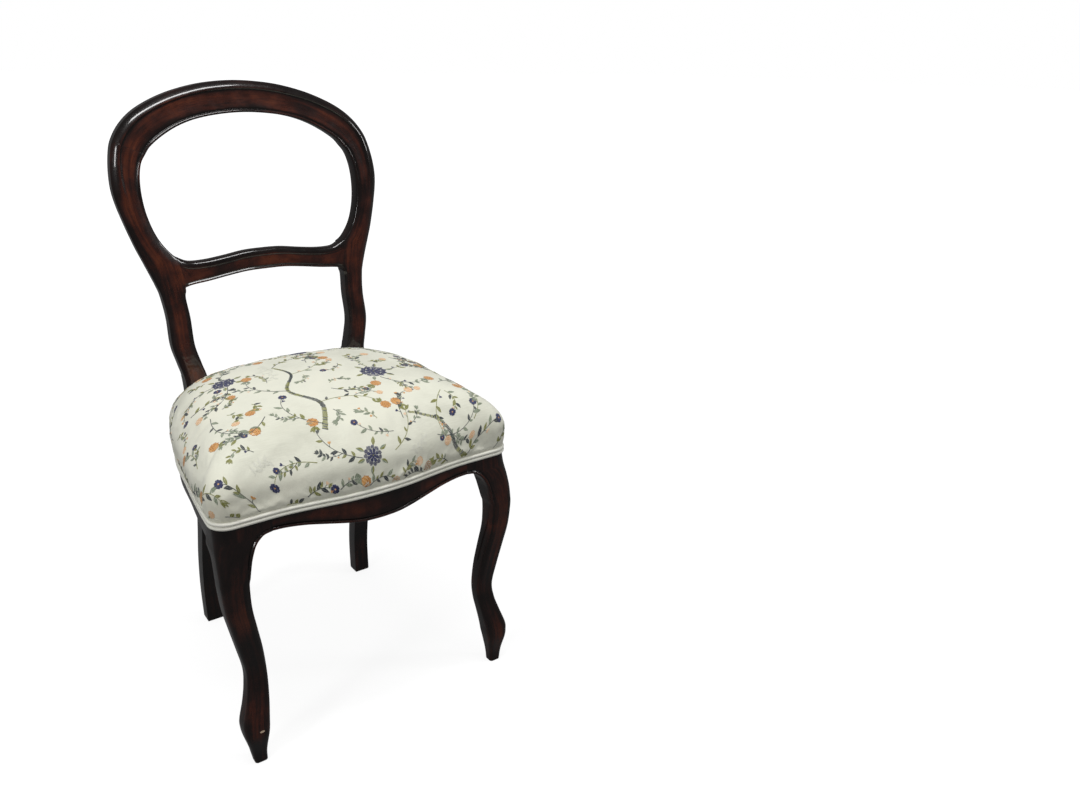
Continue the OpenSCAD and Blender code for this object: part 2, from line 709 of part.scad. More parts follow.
block_top_h = rail_top_h - soft_gap;
block_mid_h = block_top_h - block_h / 2;
head_d = 2 * screw_d;
head_t = 0.7 * screw_d;
// Wood left between the head of a screw and the face of the block that meets the rail
screw_bed = block_leg * 0.25;
// Where along its legs a block is screwed
screw_share = 0.4;
back_screw_share = 0.6;

// A screw through a block into the rail, with its head in a counterbore that opens inwards
module screw(joint, way, gap) {
    rod(joint - way * (screw_bed + head_t / 2), way, screw_bed + head_t / 2 + screw_reach + gap, screw_d + 2 * gap);
    head_room = gap > 0 ? block_leg - screw_bed : head_t;
    rod(joint - way * (screw_bed + head_room), way, head_room, head_d + 2 * gap);
}

// The two screws of a block lie one over the other
screw_rise = block_h * 0.2;

module front_block_screws(gap = 0) {
    screw([inner_x - block_leg * screw_share, inner_y, block_mid_h + screw_rise], [0, -1, 0], gap);
    screw([inner_x, inner_y + block_leg * screw_share, block_mid_h - screw_rise], [1, 0, 0], gap);
}

// The back block lies between the inner face of the side rail and the back rail
side_way = unit([inner_x - side_seat, block_end - post_front_y, 0]);
side_normal = [-side_way.y, side_way.x, 0];

module back_block_screws(gap = 0) {
    screw([side_seat - block_leg * back_screw_share, post_front_y, block_mid_h + screw_rise], [0, 1, 0], gap);
    screw([side_seat, post_front_y, block_mid_h - screw_rise] + side_way * block_leg * back_screw_share,
        side_normal, gap);
}

module front_block_shape() {
    difference() {
        translate([0, 0, block_top_h - block_h]) linear_extrude(block_h) polygon([
            [inner_x - ear_r, inner_y], [inner_x, inner_y + ear_r], [inner_x, inner_y + block_leg],
            [inner_x - block_leg, inner_y]
        ]);
        front_block_screws(hole_gap);
    }
}

module back_block_shape() {
    corner = [side_seat, post_front_y];
    difference() {
        translate([0, 0, block_top_h - block_h]) linear_extrude(block_h) polygon([
            corner, corner - [block_leg, 0], corner + [side_way.x, side_way.y] * block_leg
        ]);
        back_block_screws(hole_gap);
    }
}

module right_front_block() {
    color(plain_wood) translate([0, -centre_y, 0]) front_block_shape();
}

module left_front_block() {
    color(plain_wood) translate([0, -centre_y, 0]) mirror([1, 0, 0]) front_block_shape();
}

module right_back_block() {
    color(plain_wood) translate([0, -centre_y, 0]) back_block_shape();
}

module left_back_block() {
    color(plain_wood) translate([0, -centre_y, 0]) mirror([1, 0, 0]) back_block_shape();
}

module corner_block_screws() {
    color(steel) translate([0, -centre_y, 0]) both_sides() {
        front_block_screws();
        back_block_screws();
    }
}

// Webbing, three straps each way, woven over and under

// How far the ends of the straps stay inside the tacked faces
strap_margin = 5;
// Clearance between two straps where they cross
weave_gap = 0.1;
// Places of the straps, as shares of the half width between the posts and of the depth from front to back
strap_x_shares = [-0.763, 0, 0.763];
strap_y_shares = [0.28, 0.51, 0.74];
strap_xs = [for (s = strap_x_shares) post_in * s];
strap_ys = [for (s = strap_y_shares) seat_d * s];
strap_lift = strap_t + weave_gap;
strap_front_y = tack_inset + strap_margin;
strap_back_y = back_y - tack_inset - strap_margin;

// The half width of the seat at a given depth, inside the tacked face
function tack_half(y) = lookup(y, [for (p = side_rows) [p.y, p.x - tack_inset - strap_margin]]);

// The side view of a strap: level at the crossings where it passes under, lifted where it passes over
function strap_line(from, to, crossings, over) = concat(
    [[from, 0]],
    [for (i = [0:len(crossings) - 1]) each over[i]
        ? [[crossings[i] - strap_w / 2 - 4 * strap_t, 0], [crossings[i] - strap_w / 2 - strap_t, strap_lift],
            [crossings[i] + strap_w / 2 + strap_t, strap_lift], [crossings[i] + strap_w / 2 + 4 * strap_t, 0]]
        : []],
    [[to, 0]]);
function thick(line) = concat(line, [for (p = backwards(line)) p + [0, strap_t]]);

module lengthwise_webbing() {
    color(jute) translate([0, -centre_y, rail_top_h]) for (i = [0:2])
        translate([strap_xs[i] - strap_w / 2, 0, 0]) rotate([90, 0, 90]) linear_extrude(strap_w)
            polygon(thick(strap_line(strap_front_y, strap_back_y, strap_ys, [for (k = [0:2]) (i + k) % 2 == 0])));
}

module crosswise_webbing() {
    color(jute) translate([0, -centre_y, rail_top_h]) for (k = [0:2])
        let (half = tack_half(strap_ys[k] + strap_w / 2))
        translate([0, strap_ys[k] + strap_w / 2, 0]) rotate([90, 0, 0]) linear_extrude(strap_w)
            polygon(thick(strap_line(-half, half, strap_xs, [for (i = [0:2]) (i + k) % 2 == 1])));
}

// Three tacks hold each end of a strap
tack_head_d = 4 * tack_d;
tack_head_t = 0.4 * tack_d;
tack_row = strap_w * 0.32;
tack_margin = 1.2 * tack_head_d;
tack_spots = concat(
    [for (x = strap_xs) for (k = [-1:1]) each [
        [x + k * tack_row, strap_front_y + tack_margin], [x + k * tack_row, strap_back_y - tack_margin]]],
    [for (y = strap_ys) for (k = [-1:1]) let (half = tack_half(y + strap_w / 2)) each [
        [half - tack_margin, y + k * tack_row], [tack_margin - half, y + k * tack_row]]]);

module all_tacks(gap = 0) {
    for (spot = tack_spots) translate([spot.x, spot.y, rail_top_h + strap_t]) {
        translate([0, 0, -strap_t - tack_reach - gap])
            cylinder(d = tack_d + 2 * gap, h = strap_t + tack_reach + gap);
        cylinder(d = tack_head_d, h = tack_head_t);
    }
}

module webbing_tacks() {
    color(steel) translate([0, -centre_y, 0]) all_tacks();
}

// Hessian, stuffing and cover

hessian_h = rail_top_h + strap_t + strap_lift + soft_gap;

// Room for a post, open to the back
module post_room() {
    low = [post_half, ledge_h - overrun, post_in, ledge_h - overrun, post_t, 0];
    loft([for (r = concat([low, block_row], upright_rows))
        let (front = lean_y(r[1]) - r[4] / 2 - soft_gap, back = post_back_y + crest_lean)
        [for (p = [[r[0] + soft_gap, back], [r[0] + soft_gap, front], [r[2] - soft_gap, front],
            [r[2] - soft_gap, back]]) [p.x, p.y, r[1]]]]);
}

module hessian() {
    color(jute) translate([0, -centre_y, 0]) difference() {
        plan_prism(tack_inset + strap_margin / 2, hessian_h, hessian_h + hessian_t);
        both_sides() post_room();
    }
}

// Rows of the seat from its edge to its crown: share of the way from the middle, outward shift and height share
seat_rows_shares = [
    [1, -0.8, 0.13], [1, 0.5, 0.24], [1, 1, 0.37], [0.98, 0.6, 0.52],
    [0.93, 0, 0.66], [0.84, 0, 0.775], [0.68, 0, 0.88], [0.45, 0, 0.955], [0.2, 0, 0.995]
];
seat_middle = [0, seat_d * 0.57];
// Height share of the seat above which a ring that is moved in is lowered too
crown_share = 0.4;

// A ring of the seat surface, moved in by a depth, which turns from the seat's outline to an oval at the crown
function seat_ring(s, depth) =
    let (edge = backwards(moved(closed_edge, bulge * s[1] - depth, true)),
        z = between(ledge_h, crown_h, s[2]) - (s[2] > crown_share ? depth : 0))
    [for (p = edge)
        let (way = p - seat_middle,
            turn = atan2(way.y / seat_d, way.x / front_w),
            oval = [front_w * cos(turn), seat_d * sin(turn)] / 2,
            spot = seat_middle + s[0] * between(oval, way, s[0] * s[0]))
        [spot.x, spot.y, z]];

module seat_stuffing() {
    depth = cover_t + soft_gap;
    base_z = hessian_h + hessian_t + soft_gap;
    base = [for (p = moved(closed_edge, -tack_inset, true)) [p.x, p.y, base_z]];
    rings = concat([backwards(base)],
        [for (i = [1:len(seat_rows_shares) - 1]) seat_ring(seat_rows_shares[i], depth)]);
    color("#cfc4a8") translate([0, -centre_y, 0]) difference() {
        loft(rings);
        both_sides() post_room();
    }
}

module seat_cover() {
    edge_z = ledge_h + soft_gap;
    outer_edge = [for (p = backwards(moved(closed_edge, -tack_inset + soft_gap + cover_t, true))) [p.x, p.y, edge_z]];
    inner_edge = [for (p = backwards(moved(closed_edge, -tack_inset + soft_gap, true))) [p.x, p.y, edge_z]];
    outer = concat([outer_edge], [for (s = seat_rows_shares) seat_ring(s, 0)]);
    inner = concat([inner_edge], [for (s = seat_rows_shares) seat_ring(s, cover_t)]);
    m = len(outer_edge);
    n = len(outer);
    count = n * m;
    lining = [for (f = turned(concat(skin(m, n), fan((n - 1) * m, m, count)))) [for (i = f) i + count + 1]];
    hem = [for (j = [0:m - 1])
        let (a = j, b = (j + 1) % m)
        each [[b, a, a + count + 1], [b, a + count + 1, b + count + 1]]];
    points = concat([for (ring = outer) each ring], [mean(outer[n - 1])],
        [for (ring = inner) each ring], [mean(inner[n - 1])]);
    color(cloth) translate([0, -centre_y, 0]) difference() {
        polyhedron(points, concat(skin(m, n), fan((n - 1) * m, m, count), lining, hem), convexity = 8);
        both_sides() post_room();
    }
}

// Double piping: two cords side by side, one over the other, along the lower edge of the cover
piping_sides = 8;
cord_r = piping_d / 2;
// The section from the inside of the lower cord round to the inside of the upper one, outward and up
piping_section = concat(
    [for (i = [0:4]) let (a = -150 + i * 45) cord_r * [cos(a), 1 + sin(a)]],
    [for (i = [0:4]) let (a = -30 + i * 45) cord_r * [cos(a), 3 + sin(a)]]);
function piping_ring(points, i) =
    let (way = unit(row(points, i + 1) - row(points, i - 1)), out = [way.y, -way.x])
    [for (s = piping_section) [points[i].x + out.x * s.x, points[i].y + out.y * s.x, ledge_h + soft_gap + s.y]];

// Distance of the middle of the cords inside the edge, so that they bear on the cover
piping_inset = tack_inset - soft_gap - cover_t - soft_gap - cord_r;

module front_piping() {
    path = moved(open_edge, -piping_inset);
    color(cloth) translate([0, -centre_y, 0]) difference() {
        loft([for (i = [0:len(path) - 1]) backwards(piping_ring(path, i))]);
        both_sides() post_room();
    }
}

module back_piping() {
    end = post_in - soft_gap;
    path = [[end, back_y - piping_inset], [-end, back_y - piping_inset]];
    color(cloth) translate([0, -centre_y, 0])
        loft([for (i = [0:1]) backwards(piping_ring(path, i))]);
}

left_back_post();
right_back_post();
crest_rail();
cross_rail();
left_front_leg();
right_front_leg();
front_seat_rail();
back_seat_rail();
left_seat_rail();
right_seat_rail();
left_front_block();
right_front_block();
left_back_block();
right_back_block();
crest_dowels();
cross_rail_dowels();
front_rail_dowels();
side_rail_dowels();
back_rail_dowels();
corner_block_screws();
lengthwise_webbing();
crosswise_webbing();
webbing_tacks();
hessian();
seat_stuffing();
seat_cover();
front_piping();
back_piping();
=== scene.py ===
import math
import random

import bmesh
import bpy
import numpy as np
from mathutils import Matrix, Vector
from mathutils.bvhtree import BVHTree


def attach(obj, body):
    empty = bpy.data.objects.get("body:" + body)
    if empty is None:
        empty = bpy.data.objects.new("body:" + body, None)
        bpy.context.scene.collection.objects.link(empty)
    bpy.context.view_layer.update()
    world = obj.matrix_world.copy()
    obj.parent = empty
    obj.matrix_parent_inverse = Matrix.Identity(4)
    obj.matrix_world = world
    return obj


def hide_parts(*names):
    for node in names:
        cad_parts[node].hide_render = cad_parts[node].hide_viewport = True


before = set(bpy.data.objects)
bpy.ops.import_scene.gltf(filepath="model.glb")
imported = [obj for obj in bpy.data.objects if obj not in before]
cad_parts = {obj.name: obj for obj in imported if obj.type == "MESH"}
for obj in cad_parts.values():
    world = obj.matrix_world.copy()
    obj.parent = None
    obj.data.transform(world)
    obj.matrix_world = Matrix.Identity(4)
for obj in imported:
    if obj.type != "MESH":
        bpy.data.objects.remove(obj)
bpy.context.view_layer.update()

# Sizes in millimetres, with y counted from the line of the front corners of the seat
MM = 0.001
CHAIR_H = 900.0
FRONT_W = 452.0
SEAT_D = 354.0
FRONT_BOW = 15.5
CORNER_R = 26.0
RAIL_TOP = 400.0
LEDGE = 374.5
WOOD_INSET = 3.0
REBATE = 3.8
RAIL_T = 26.0
FRONT_JOINT = 150.0
SIDE_JOINT = 52.0
FRONT_EDGE = (337.0, 356.0)
SIDE_EDGE = (340.0, 341.0, 6.0)
TOE = (200.5, 11.0)
LEG_CURVE = 13.0
KNEE_H = 289.0
KNEE_HALF = 19.0
POST_HALF = 150.0
POST_W = 34.0
POST_T = 34.0
POST_BLOCK = 320.0
POST_PROUD = 2.0
BACK_FOOT = (142.0, 27.0)
FOOT_SWEEP = 55.0
CREST_LEAN = 77.0
WAIST_HALF = 161.5
BALLOON_HALF = 206.0
OPENING_HALF = 168.5
WIDEST = 749.0
CREST_D = 45.5
BALLOON_T = 28.0
CROSS_H = 606.0
CROSS_JOINT = 128.0
CROSS_JOINT_D = 42.0
CROSS_D = 31.0
CROSS_RISE = 14.0
CROSS_T = 20.0
CROWN = 497.0
BULGE = 5.0
CORD_R = 2.8
TACK_INSET = WOOD_INSET + REBATE
BACK_Y = SEAT_D
POST_BACK_Y = BACK_Y + POST_PROUD
POST_FRONT_Y = POST_BACK_Y - POST_T
POST_Y = POST_BACK_Y - POST_T / 2
POST_IN = POST_HALF - POST_W
CENTRE_Y = (POST_Y + CREST_LEAN + BALLOON_T / 2 - FRONT_BOW - BULGE) / 2
INNER_Y = WOOD_INSET + RAIL_T
INNER_X = FRONT_W / 2 - WOOD_INSET - RAIL_T
# Metres: place of the chip on the left toe, and widths of the threads in the cloth and in its print
CHIP = (-0.197, (-4 - CENTRE_Y) * MM, 0.057)
CLOTH_PITCH, THREAD_PITCH = 0.00045, 0.0011
# Degrees: edges sharper than these stay sharp
SHARP_WOOD, SHARP_PRINT = 32, 40


# Helpers on numbers and lists

def between(a, b, share):
    return a + (b - a) * share


def through(low, middle, high, share):
    """From low at 0 through middle at 1 to high at 2."""
    return between(low, middle, share) if share <= 1 else between(middle, high, share - 1)


def spline(rows, t):
    """A smooth curve through rows, at t counted in rows."""
    rows = np.asarray(rows, float)
    i = int(min(max(math.floor(t), 0), len(rows) - 2))
    t -= i
    a, b, c, d = (rows[min(max(k, 0), len(rows) - 1)] for k in (i - 1, i, i + 1, i + 2))
    return b + (c - a) * t / 2 + (2 * a - 5 * b + 4 * c - d) * t * t / 2 + (3 * b - a - 3 * c + d) * t ** 3 / 2


def smooth(rows, steps):
    n = (len(rows) - 1) * steps
    return np.array([spline(rows, i / steps) for i in range(n + 1)])


def polar(place, radius, angle):
    """The plane point at a distance and an angle from a place."""
    return place[0] + radius * math.cos(angle), place[1] + radius * math.sin(angle)


def arc(x, y, r, start, end, count):
    return [polar((x, y), r, a) for a in np.radians(np.linspace(start, end, count))]


def moved(points, d, closed=False):
    """Plan points moved outwards by d, on a path that runs anticlockwise round the seat."""
    p = np.asarray(points, float)
    if closed:
        way = np.roll(p, -1, 0) - np.roll(p, 1, 0)
    else:
        way = np.gradient(p, axis=0)
    way /= np.linalg.norm(way, axis=1)[:, None]
    return p + d * np.stack([way[:, 1], -way[:, 0]], 1)


def to_model(points):
    p = np.array(points, float)
    p[..., 1] -= CENTRE_Y
    return p * MM


# Mesh makers

def new_object(name, vertices, faces, material, grain=None, wear_and_painted_light=None, node_names=()):
    mesh = bpy.data.meshes.new(name)
    mesh.from_pydata([tuple(v) for v in vertices], [], [tuple(int(i) for i in f) for f in faces])
    mesh.update()
    piece = bpy.data.objects.new(name, mesh)
    bpy.context.scene.collection.objects.link(piece)
    for label, kind, field, values in (("grain", "FLOAT_VECTOR", "vector", grain),
                                       ("wear_and_painted_light", "FLOAT", "value", wear_and_painted_light)):
        if values is not None:
            layer = mesh.attributes.new(label, kind, "POINT")
            layer.data.foreach_set(field, np.asarray(values, np.float32).ravel())
    mesh.materials.append(material)
    mesh.polygons.foreach_set("use_smooth", [True] * len(mesh.polygons))
    fix_normals(mesh)
    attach(piece, "root")
    if node_names:
        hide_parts(*node_names)
    return piece


def fix_normals(mesh):
    bm = bmesh.new()
    bm.from_mesh(mesh)
    bmesh.ops.recalc_face_normals(bm, faces=bm.faces)
    bm.to_mesh(mesh)
    bm.free()


def loft(rings, wear_and_painted_light=None):
    """Vertices, faces, grain, and wear with painted shade and highlight, of a solid through rings of points in
    millimetres.
    """
    rings = np.asarray(rings, float)
    n, m = rings.shape[:2]
    middle = rings.mean(1)
    along = np.concatenate([[0], np.cumsum(np.linalg.norm(np.diff(middle, axis=0), axis=1))])
    off = rings - middle[:, None]
    grain = np.stack([np.repeat(along[:, None], m, 1), off[..., 0], off[..., 1]], -1).reshape(-1, 3)
    points = rings.reshape(-1, 3)
    faces = []
    for k in range(n - 1):
        for j in range(m):
            a, b = k * m + j, k * m + (j + 1) % m
            faces.append((a, b, b + m, a + m))
    points = np.concatenate([points, [rings[0].mean(0), rings[-1].mean(0)]])
    grain = np.concatenate([grain, [[along[0], 0, 0], [along[-1], 0, 0]]])
    for j in range(m):
        faces.append(((j + 1) % m, j, n * m))
        faces.append(((n - 1) * m + j, (n - 1) * m + (j + 1) % m, n * m + 1))
    if wear_and_painted_light is None:
        wear_and_painted_light = np.zeros((n, m))
    wear_and_painted_light = np.concatenate([np.asarray(wear_and_painted_light, float).ravel(), [0, 0]])
    return points, faces, grain * MM, wear_and_painted_light


def joined(parts):
    """Several lofts as one."""
    points, faces, grain, wear_and_painted_light, start = [], [], [], [], 0
    for p, f, g, w in parts:
        points.append(p)
        faces += [tuple(i + start for i in face) for face in f]
        grain.append(g)
        wear_and_painted_light.append(w)
        start += len(p)
    return np.concatenate(points), faces, np.concatenate(grain), np.concatenate(wear_and_painted_light)


def mirrored(part):
    p, f, g, w = part
    return p * [-1, 1, 1], [tuple(reversed(face)) for face in f], g + [0, 0.37, 0], w


def sharpen(piece, angle):
    """Marks edges sharper than an angle, so that smooth shading stops there."""
    bm = bmesh.new()
    bm.from_mesh(piece.data)
    limit = math.radians(angle)
    for e in bm.edges:
        e.smooth = len(e.link_faces) != 2 or e.calc_face_angle(0) < limit
    bm.to_mesh(piece.data)
    bm.free()


def tube(path, radius, sides):
    """A round cord along a level path in millimetres."""
    p = np.asarray(path, float)
    rings = []
    for spot, way in zip(p, np.gradient(p, axis=0)):
        way = way / np.linalg.norm(way)
        side = np.cross(way, (0.0, 0.0, 1.0))
        side /= np.linalg.norm(side)
        up = np.cross(side, way)
        rings.append([spot + radius * (math.cos(a) * side + math.sin(a) * up)
                      for a in np.linspace(0, math.tau, sides, endpoint=False)])
    return loft(rings)


# Materials

def material(name):
    m = bpy.data.materials.new(name)
    m.use_nodes = True
    tree = m.node_tree
    return m, tree, tree.nodes["Principled BSDF"]


def feed(tree, made, inputs):
    """Links a node's inputs to other sockets, or sets them to values."""
    for key, value in inputs.items():
        if isinstance(value, bpy.types.NodeSocket):
            tree.links.new(value, made.inputs[key])
        else:
            made.inputs[key].default_value = value


def node(tree, kind, inputs=None, **settings):
    made = tree.nodes.new(kind)
    for key, value in settings.items():
        setattr(made, key, value)
    feed(tree, made, inputs or {})
    return made


def math_node(tree, operation, a, b=0.5):
    return node(tree, "ShaderNodeMath", {0: a, 1: b}, operation=operation).outputs[0]


def weighted(tree, *parts):
    """The sum of values times their weights."""
    total = None
    for value, weight in parts:
        part = value if weight == 1 else math_node(tree, "MULTIPLY", value, weight)
        total = part if total is None else math_node(tree, "ADD", total, part)
    return total


def ramp(tree, value, stops):
    made = node(tree, "ShaderNodeValToRGB", {"Fac": value})
    elements = made.color_ramp.elements
    while len(elements) < len(stops):
        elements.new(0.5)
    for element, (place, colour) in zip(elements, stops):
        element.position = place
        element.color = (*colour, 1)
    return made.outputs["Color"]


def mix(tree, share, a, b, kind="MIX"):
    """Two colours mixed, each a socket or three numbers."""
    a, b = ((*value, 1) if isinstance(value, tuple) else value for value in (a, b))
    return node(tree, "ShaderNodeMix", {0: share, 6: a, 7: b}, data_type="RGBA", blend_type=kind).outputs[2]


def grey(tree, value, low, high, start=0.3, finish=0.7):
    return ramp(tree, value, [(start, (low,) * 3), (finish, (high,) * 3)])


def noise(tree, vector, scale, detail=3.0, rough=0.5):
    return node(tree, "ShaderNodeTexNoise", {"Vector": vector, "Scale": scale, "Detail": detail,
                                            "Roughness": rough}).outputs["Fac"]


def scaled(tree, vector, scale):
    return node(tree, "ShaderNodeMapping", {"Vector": vector, "Scale": scale}).outputs["Vector"]


def place_of(tree):
    return node(tree, "ShaderNodeTexCoord").outputs["Object"]


def dress(tree, shader, colour, roughness, height, distance, strength, **same):
    """Links a surface's colour, roughness and bump; same holds what is one value all over it."""
    made = node(tree, "ShaderNodeBump", {"Height": height, "Distance": distance, "Strength": strength})
    feed(tree, shader, {"Base Color": colour, "Roughness": roughness, "Normal": made.outputs["Normal"]})
    feed(tree, shader, {key.replace("_", " "): value for key, value in same.items()})


def polished_wood():
    m, tree, shader = material("polished_mahogany")
    grain = node(tree, "ShaderNodeAttribute", attribute_name="grain").outputs["Vector"]
    wear_and_painted_light = node(tree, "ShaderNodeAttribute", attribute_name="wear_and_painted_light").outputs["Fac"]
    place = place_of(tree)
    streaks = noise(tree, scaled(tree, grain, (10, 170, 170)), 1.0, 6.0, 0.62)
    pores = noise(tree, scaled(tree, grain, (50, 1500, 1500)), 1.0, 3.0, 0.6)
    clouds = noise(tree, place, 16.0, 4.0, 0.6)
    # This attribute lightens worn faces, paints shade into grooves, coves and edges that turn away, and paints
    # a highlight on the fronts of knees and feet
    colour = ramp(tree, weighted(tree, (streaks, 0.5), (clouds, 0.6), (wear_and_painted_light, 0.13)), [
        (0.36, (0.0030, 0.0014, 0.0013)), (0.50, (0.0075, 0.0027, 0.0022)), (0.58, (0.018, 0.0048, 0.0033)),
        (0.66, (0.043, 0.0090, 0.0045)), (0.76, (0.085, 0.0190, 0.0068)), (0.90, (0.150, 0.044, 0.0120))])
    dark = ramp(tree, pores, [(0.35, (0.55, 0.5, 0.5)), (0.52, (1, 1, 1))])
    colour = mix(tree, 0.75, colour, dark, "MULTIPLY")
    # A small chip in the polish of the left toe shows the pale wood under it
    off = node(tree, "ShaderNodeVectorMath", {0: place, 1: CHIP}, operation="SUBTRACT").outputs["Vector"]
    reach = node(tree, "ShaderNodeVectorMath", {0: scaled(tree, off, (290, 80, 520))}, operation="LENGTH")
    chipped = math_node(tree, "LESS_THAN", weighted(tree, (reach.outputs["Value"], 1), (streaks, 0.5)), 1.2)
    dress(tree, shader, mix(tree, chipped, colour, (0.55, 0.42, 0.30)),
          grey(tree, noise(tree, place, 60.0, 4.0, 0.6), 0.24, 0.4, 0.3, 0.75),
          weighted(tree, (pores, 0.5), (noise(tree, place, 28.0, 2.0, 0.5), 1)), 0.0006, 0.4,
          Specular_IOR_Level=0.25, Coat_Weight=0.85, Coat_Roughness=0.06)
    return m


def plain_wood(name, colour, light):
    m, tree, shader = material(name)
    place = place_of(tree)
    fibres = noise(tree, scaled(tree, place, (60, 60, 400)), 1.0, 5.0, 0.6)
    share = weighted(tree, (fibres, 0.6), (noise(tree, place, 30.0, 2.0, 0.5), 0.4))
    dress(tree, shader, ramp(tree, share, [(0.35, colour), (0.65, light)]), grey(tree, fibres, 0.55, 0.75),
          fibres, 0.0003, 0.5)
    return m


def metal(name, colour, light, rough):
    m, tree, shader = material(name)
    spots = noise(tree, place_of(tree), 400.0, 4.0, 0.6)
    dress(tree, shader, ramp(tree, spots, [(0.35, colour), (0.7, light)]),
          grey(tree, spots, rough, rough + 0.15), spots, 0.0001, 0.4, Metallic=1.0)
    return m


def weave_height(tree, place, pitch):
    """Height of a plain weave with threads along x and y, pitch in metres."""
    split = node(tree, "ShaderNodeSeparateXYZ", {"Vector": place})
    turn = math.pi / pitch
    waves = [math_node(tree, "SINE", math_node(tree, "MULTIPLY", split.outputs[axis], turn)) for axis in "XYZ"]
    return math_node(tree, "MULTIPLY", waves[0], math_node(tree, "ADD", waves[1], waves[2]))


def jute(name, colour, light, pitch, depth):
    m, tree, shader = material(name)
    place = place_of(tree)
    weave, spread = weave_height(tree, place, pitch), noise(tree, place, 140.0, 4.0, 0.6)
    dress(tree, shader, ramp(tree, weighted(tree, (weave, 0.22), (spread, 1)), [(0.25, colour), (0.75, light)]),
          grey(tree, spread, 0.8, 0.95), weave, depth, 0.8)
    return m


def cotton(name, shade, colour, light):
    m, tree, shader = material(name)
    place = place_of(tree)
    slub = noise(tree, scaled(tree, place, (60, 900, 900)), 1.0, 2.0, 0.5)
    share = weighted(tree, (noise(tree, place, 9.0, 3.0, 0.5), 0.75), (slub, 0.25))
    height = weighted(tree, (weave_height(tree, place, CLOTH_PITCH), 0.4), (slub, 1))
    dress(tree, shader, ramp(tree, share, [(0.36, shade), (0.5, colour), (0.64, light)]),
          grey(tree, slub, 0.62, 0.78), height, 0.00012, 0.7, Specular_IOR_Level=0.3, Sheen_Weight=0.25,
          Sheen_Roughness=0.5)
    return m


def thread(name, colour, second):
    """A woven motif colour: threads of the colour with paler ones between them."""
    m, tree, shader = material(name)
    place = place_of(tree)
    split = node(tree, "ShaderNodeSeparateXYZ", {"Vector": place})
    skew = weighted(tree, (split.outputs["Y"], 1), (split.outputs["X"], 0.4))
    hatch = math_node(tree, "SINE", math_node(tree, "MULTIPLY", skew, math.tau / THREAD_PITCH))
    spread = noise(tree, place, 260.0, 3.0, 0.6)
    dress(tree, shader, ramp(tree, weighted(tree, (hatch, 0.2), (spread, 1)), [(0.52, colour), (0.8, second)]),
          grey(tree, spread, 0.6, 0.8), hatch, 0.0001, 0.5, Specular_IOR_Level=0.25, Sheen_Weight=0.15)
    return m


POLISHED = polished_wood()
BLOCK_WOOD = plain_wood("block_beech", (0.30, 0.17, 0.08), (0.47, 0.30, 0.16))
DOWEL_WOOD = plain_wood("dowel_beech", (0.42, 0.27, 0.14), (0.58, 0.41, 0.24))
SCREW_STEEL = metal("screw_steel", (0.30, 0.29, 0.28), (0.52, 0.51, 0.50), 0.38)
TACK_STEEL = metal("tack_steel", (0.05, 0.055, 0.075), (0.12, 0.125, 0.15), 0.35)
WEBBING = jute("jute_webbing", (0.24, 0.16, 0.08), (0.52, 0.38, 0.21), 0.0016, 0.0006)
HESSIAN = jute("hessian_jute", (0.28, 0.20, 0.11), (0.58, 0.45, 0.27), 0.0026, 0.0009)
COTTON = cotton("printed_cotton", (0.60, 0.60, 0.50), (0.68, 0.68, 0.575), (0.71, 0.70, 0.585))
PIPING = cotton("piping_cotton", (0.66, 0.66, 0.57), (0.73, 0.73, 0.65), (0.77, 0.76, 0.68))

# Seat plan
front_shares = [
    (0, 1, 0), (0.17, 0.95, 0.05), (0.33, 0.82, 0.25), (0.53, 0.51, 0.55), (0.7, 0.25, 0.8),
    (0.87, 0.06, 0.96), (1, 0, 1)]
front_rows = [(FRONT_JOINT * s[0], -FRONT_BOW * s[1], between(*FRONT_EDGE, s[2])) for s in front_shares]
side_shares = [
    (0, 0.02), (0.212, 0.1), (0.358, 0.17), (0.55, 0.25), (0.689, 0.355), (0.831, 0.51), (0.914, 0.66),
    (0.965, 0.79), (1, 1)]
front_half = FRONT_W / 2
side_rows = [(between(front_half, POST_HALF, s[1]), between(SIDE_JOINT, BACK_Y, s[0])) for s in side_shares]
corner_arc = arc(front_half - CORNER_R, CORNER_R, CORNER_R, -90, 0, 9)
side_line = smooth(side_rows, 5)
half_edge = np.concatenate([smooth(front_rows, 5)[:, :2], corner_arc, side_line])
open_edge = np.concatenate([(half_edge[1:] * [-1, 1])[::-1], half_edge])
back_line = np.linspace(POST_HALF, -POST_HALF, 24)[1:-1]
closed_edge = np.concatenate([open_edge, np.stack([back_line, np.full(len(back_line), BACK_Y)], 1)])


def evenly(path, step):
    """A path with points at about equal steps."""
    p = np.asarray(path, float)
    s = np.concatenate([[0], np.cumsum(np.linalg.norm(np.diff(p, axis=0), axis=1))])
    at = np.linspace(0, s[-1], max(2, int(s[-1] / step) + 1))
    return np.stack([np.interp(at, s, p[:, k]) for k in range(p.shape[1])], 1)


# Front legs
leg_shares = [
    (0, -0.08, -0.06, 0.48), (0.042, -0.02, 0, 0.54), (0.083, 0, 0, 0.63), (0.156, 0.06, -0.03, 0.86),
    (0.197, 0.05, 0.05, 0.95), (0.242, -0.03, 0.15, 0.97), (0.325, -0.46, 0.47, 0.87),
    (0.408, -0.82, 0.92, 0.79), (0.495, -0.92, 1.13, 0.76), (0.62, -0.56, 0.93, 0.85),
    (0.747, -0.06, 0.58, 0.9), (0.875, 0.42, 0.2, 0.94), (1, 0.56, 0.05, 1)]
